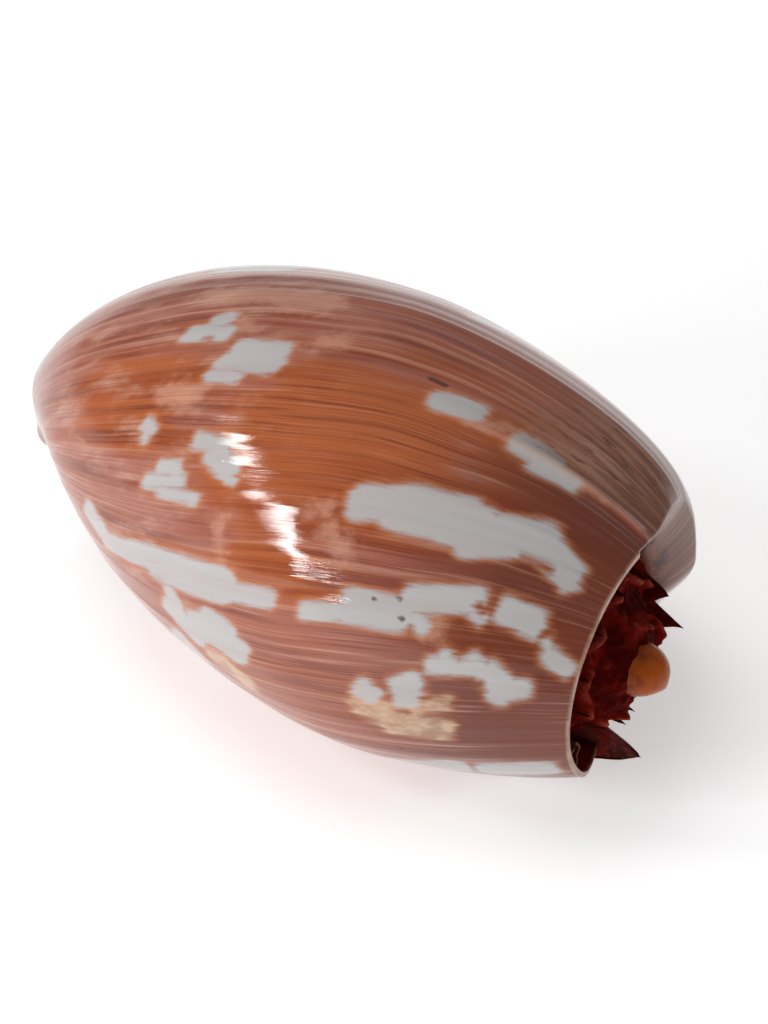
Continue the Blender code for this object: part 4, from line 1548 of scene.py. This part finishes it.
@dataclass
class Studio:
    """The pale floor, the soft lights and the camera of the photograph."""

    azimuth: float = 32.06
    elevation: float = 39.08
    distance: float = 1.2
    aim: tuple[float, float, float] = (20 * MM, 20 * MM, 125 * MM)
    lens: float = 132.2
    shift_x: float = 3 / 1024
    shift_y: float = -30.4 / 1024
    world_strength: float = 0.32
    floor_glow: float = 0.45
    floor_reach: float = 6.0
    lamps_away: float = 1.6
    lamps_middle: tuple[float, float, float] = (0, 0, 70 * MM)
    sensor: float = 36.0

    def build_floor(self, kit: GroupKit) -> None:
        """Lay the floor and give it its finish.

        Args:
            kit: The shared node groups.
        """
        mesh = bmesh.new()
        bmesh.ops.create_grid(mesh, x_segments=1, y_segments=1, size=self.floor_reach)
        floor = new_object(mesh, "floor")
        finish = Glaze("pale_floor", Tone.FLOOR, Tone.FLOOR_SHADE, 3, 0.9, 0.0).make(kit)
        shader = finish.node_tree.nodes["Principled BSDF"]
        shader.inputs["Emission Color"].default_value = Tone.FLOOR.linear()
        shader.inputs["Emission Strength"].default_value = self.floor_glow
        floor.data.materials.append(finish)

    def direction(self, azimuth: float, elevation: float) -> Vector:
        """Give the direction seen from the shell; azimuth 0 is -Y and grows towards +X."""
        a, e = math.radians(azimuth), math.radians(elevation)
        return Vector((math.sin(a) * math.cos(e), -math.cos(a) * math.cos(e), math.sin(e)))

    def add_window(
        self,
        name: str,
        start: tuple[float, float],
        end: tuple[float, float],
        width: float,
        power: float,
        mirrored: bool = True,
    ) -> None:
        """Hang a long soft lamp between two directions.

        Args:
            name: Name of the lamp.
            start: Azimuth and elevation of one end.
            end: Azimuth and elevation of the other end.
            width: Its width in metres.
            power: Its power in watts.
            mirrored: Whether the glaze mirrors it.
        """
        far, middle = self.lamps_away, Vector(self.lamps_middle)
        a, b = self.direction(*start) * far, self.direction(*end) * far
        centre = (a + b) / 2
        along = (b - a).normalized()
        towards = -centre.normalized()
        across = towards.cross(along).normalized()
        along = across.cross(towards)
        data = bpy.data.lights.new(name, "AREA")
        data.shape = "RECTANGLE"
        data.size, data.size_y = (b - a).length, width
        data.energy = power
        lamp = bpy.data.objects.new(name, data)
        turn = Matrix((along, across, along.cross(across))).transposed()
        lamp.rotation_mode = "QUATERNION"
        lamp.rotation_quaternion = turn.to_quaternion()
        if (lamp.rotation_quaternion @ Vector((0, 0, -1))).dot(towards) < 0:
            turn = Matrix((along, -across, -along.cross(across))).transposed()
            lamp.rotation_quaternion = turn.to_quaternion()
        lamp.location = middle + centre
        lamp.visible_glossy = mirrored
        bpy.context.scene.collection.objects.link(lamp)

    def build_light(self) -> None:
        """Light the scene with a pale room, a soft overhead lamp and the windows that the glaze mirrors."""
        world = bpy.data.worlds.new("pale_room")
        world.use_nodes = True
        world.node_tree.nodes["Background"].inputs["Color"].default_value = (1, 1, 1, 1)
        world.node_tree.nodes["Background"].inputs["Strength"].default_value = self.world_strength
        bpy.context.scene.world = world
        self.add_window("overhead", (-120, 62), (-20, 75), 0.9, 7, mirrored=False)
        self.add_window("window_high", (-61, 40.5), (-47, 36), 0.1, 3.4)
        self.add_window("window_long", (-35, 28), (-15, 17), 0.17, 10)
        self.add_window("window_low", (-11, 15.5), (-5, 13.5), 0.08, 1.3)

    def build_camera(self, lying: Matrix) -> None:
        """Set the camera at the photograph's angle.

        Args:
            lying: The matrix that lays the shell down.
        """
        back = self.direction(self.azimuth, self.elevation)
        data = bpy.data.cameras.new("camera")
        data.lens = self.lens
        data.sensor_width = self.sensor
        data.shift_x, data.shift_y = self.shift_x, self.shift_y
        camera = bpy.data.objects.new("camera", data)
        camera.location = lying @ Vector(self.aim) + back * self.distance
        camera.rotation_mode = "QUATERNION"
        camera.rotation_quaternion = (-back).to_track_quat("-Z", "Y")
        bpy.context.scene.collection.objects.link(camera)
        bpy.context.scene.camera = camera

    def build(self, lying: Matrix, kit: GroupKit) -> None:
        """Build floor, lights and camera.

        Args:
            lying: The matrix that lays the shell down.
            kit: The shared node groups.
        """
        self.build_floor(kit)
        self.build_light()
        self.build_camera(lying)
        bpy.context.scene.view_settings.view_transform = "Standard"


def lay_down(piece: bpy.types.Object, lying: Matrix) -> None:
    """Lay a piece down in the row frame, with its foot worn flat on the ground, and smooth its shading.

    Args:
        piece: The piece, in the shell's own frame.
        lying: The matrix that lays the shell down.
    """
    piece.data.transform(lying)
    for vertex in piece.data.vertices:
        vertex.co.z = max(vertex.co.z, 0.0)
    piece.data.shade_smooth()
    piece.data.set_sharp_from_angle(angle=math.radians(SHARP_ANGLE))


def main() -> None:
    """Build the shell, dress it and set the scene."""
    logging.basicConfig(level=logging.INFO, format="%(message)s")
    lying = FORM.lying()
    kit = GroupKit()
    body = BodyWhorl(FORM).build()
    BodyDresser(FORM, Markings(FORM)).dress(body)
    body.data.materials.clear()
    body.data.materials.append(OutsideGlaze().make(kit))
    body.data.materials.append(Glaze("porcelain_inside", Tone.PORCELAIN, Tone.PORCELAIN_DEEP, 25).make(kit))
    # the crown's own maroon, with painted shade in its hollows and a painted highlight in pink on its lumps
    maroon = CrownGlaze("maroon_crown", Tone.MAROON_DARK, Tone.MAROON, Tone.MAROON_PINK).make(kit)
    # the recess faces take the dark maroon crown finish, partly painted shade
    body.data.materials.append(maroon)
    dark = CrownGlaze("dark_spine", Tone.MAROON, Tone.MAROON_DARK, Tone.MAROON_DARK).make(kit)
    amber = CrownGlaze("amber_dome", Tone.AMBER, Tone.AMBER_DEEP, Tone.MAROON_DARK, 0.2, 1.25)
    edge = CrownGlaze("broken_edge", Tone.HOOD_BROWN, Tone.MAROON, Tone.MAROON_DARK, ior=1.2)
    brown = CrownGlaze("brown_spine", Tone.SPINE_BROWN, Tone.MAROON, Tone.MAROON_DARK, ior=1.2)
    finishes = {
        "older_whorls": maroon,
        "first_whorl": amber.make(kit),
        "broken_spine": edge.make(kit),
        "spine_0": brown.make(kit),
    }
    pieces = Spire(FORM).build()
    for piece in pieces:
        piece.data.materials.append(finishes.get(piece.name, dark))
    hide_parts("shell")
    for piece in (body, *pieces):
        lay_down(piece, lying)
        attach(piece, "root")
        LOG.info("%s: %d faces", piece.name, len(piece.data.polygons))
    Studio().build(lying, kit)


if __name__ == "__main__":
    main()
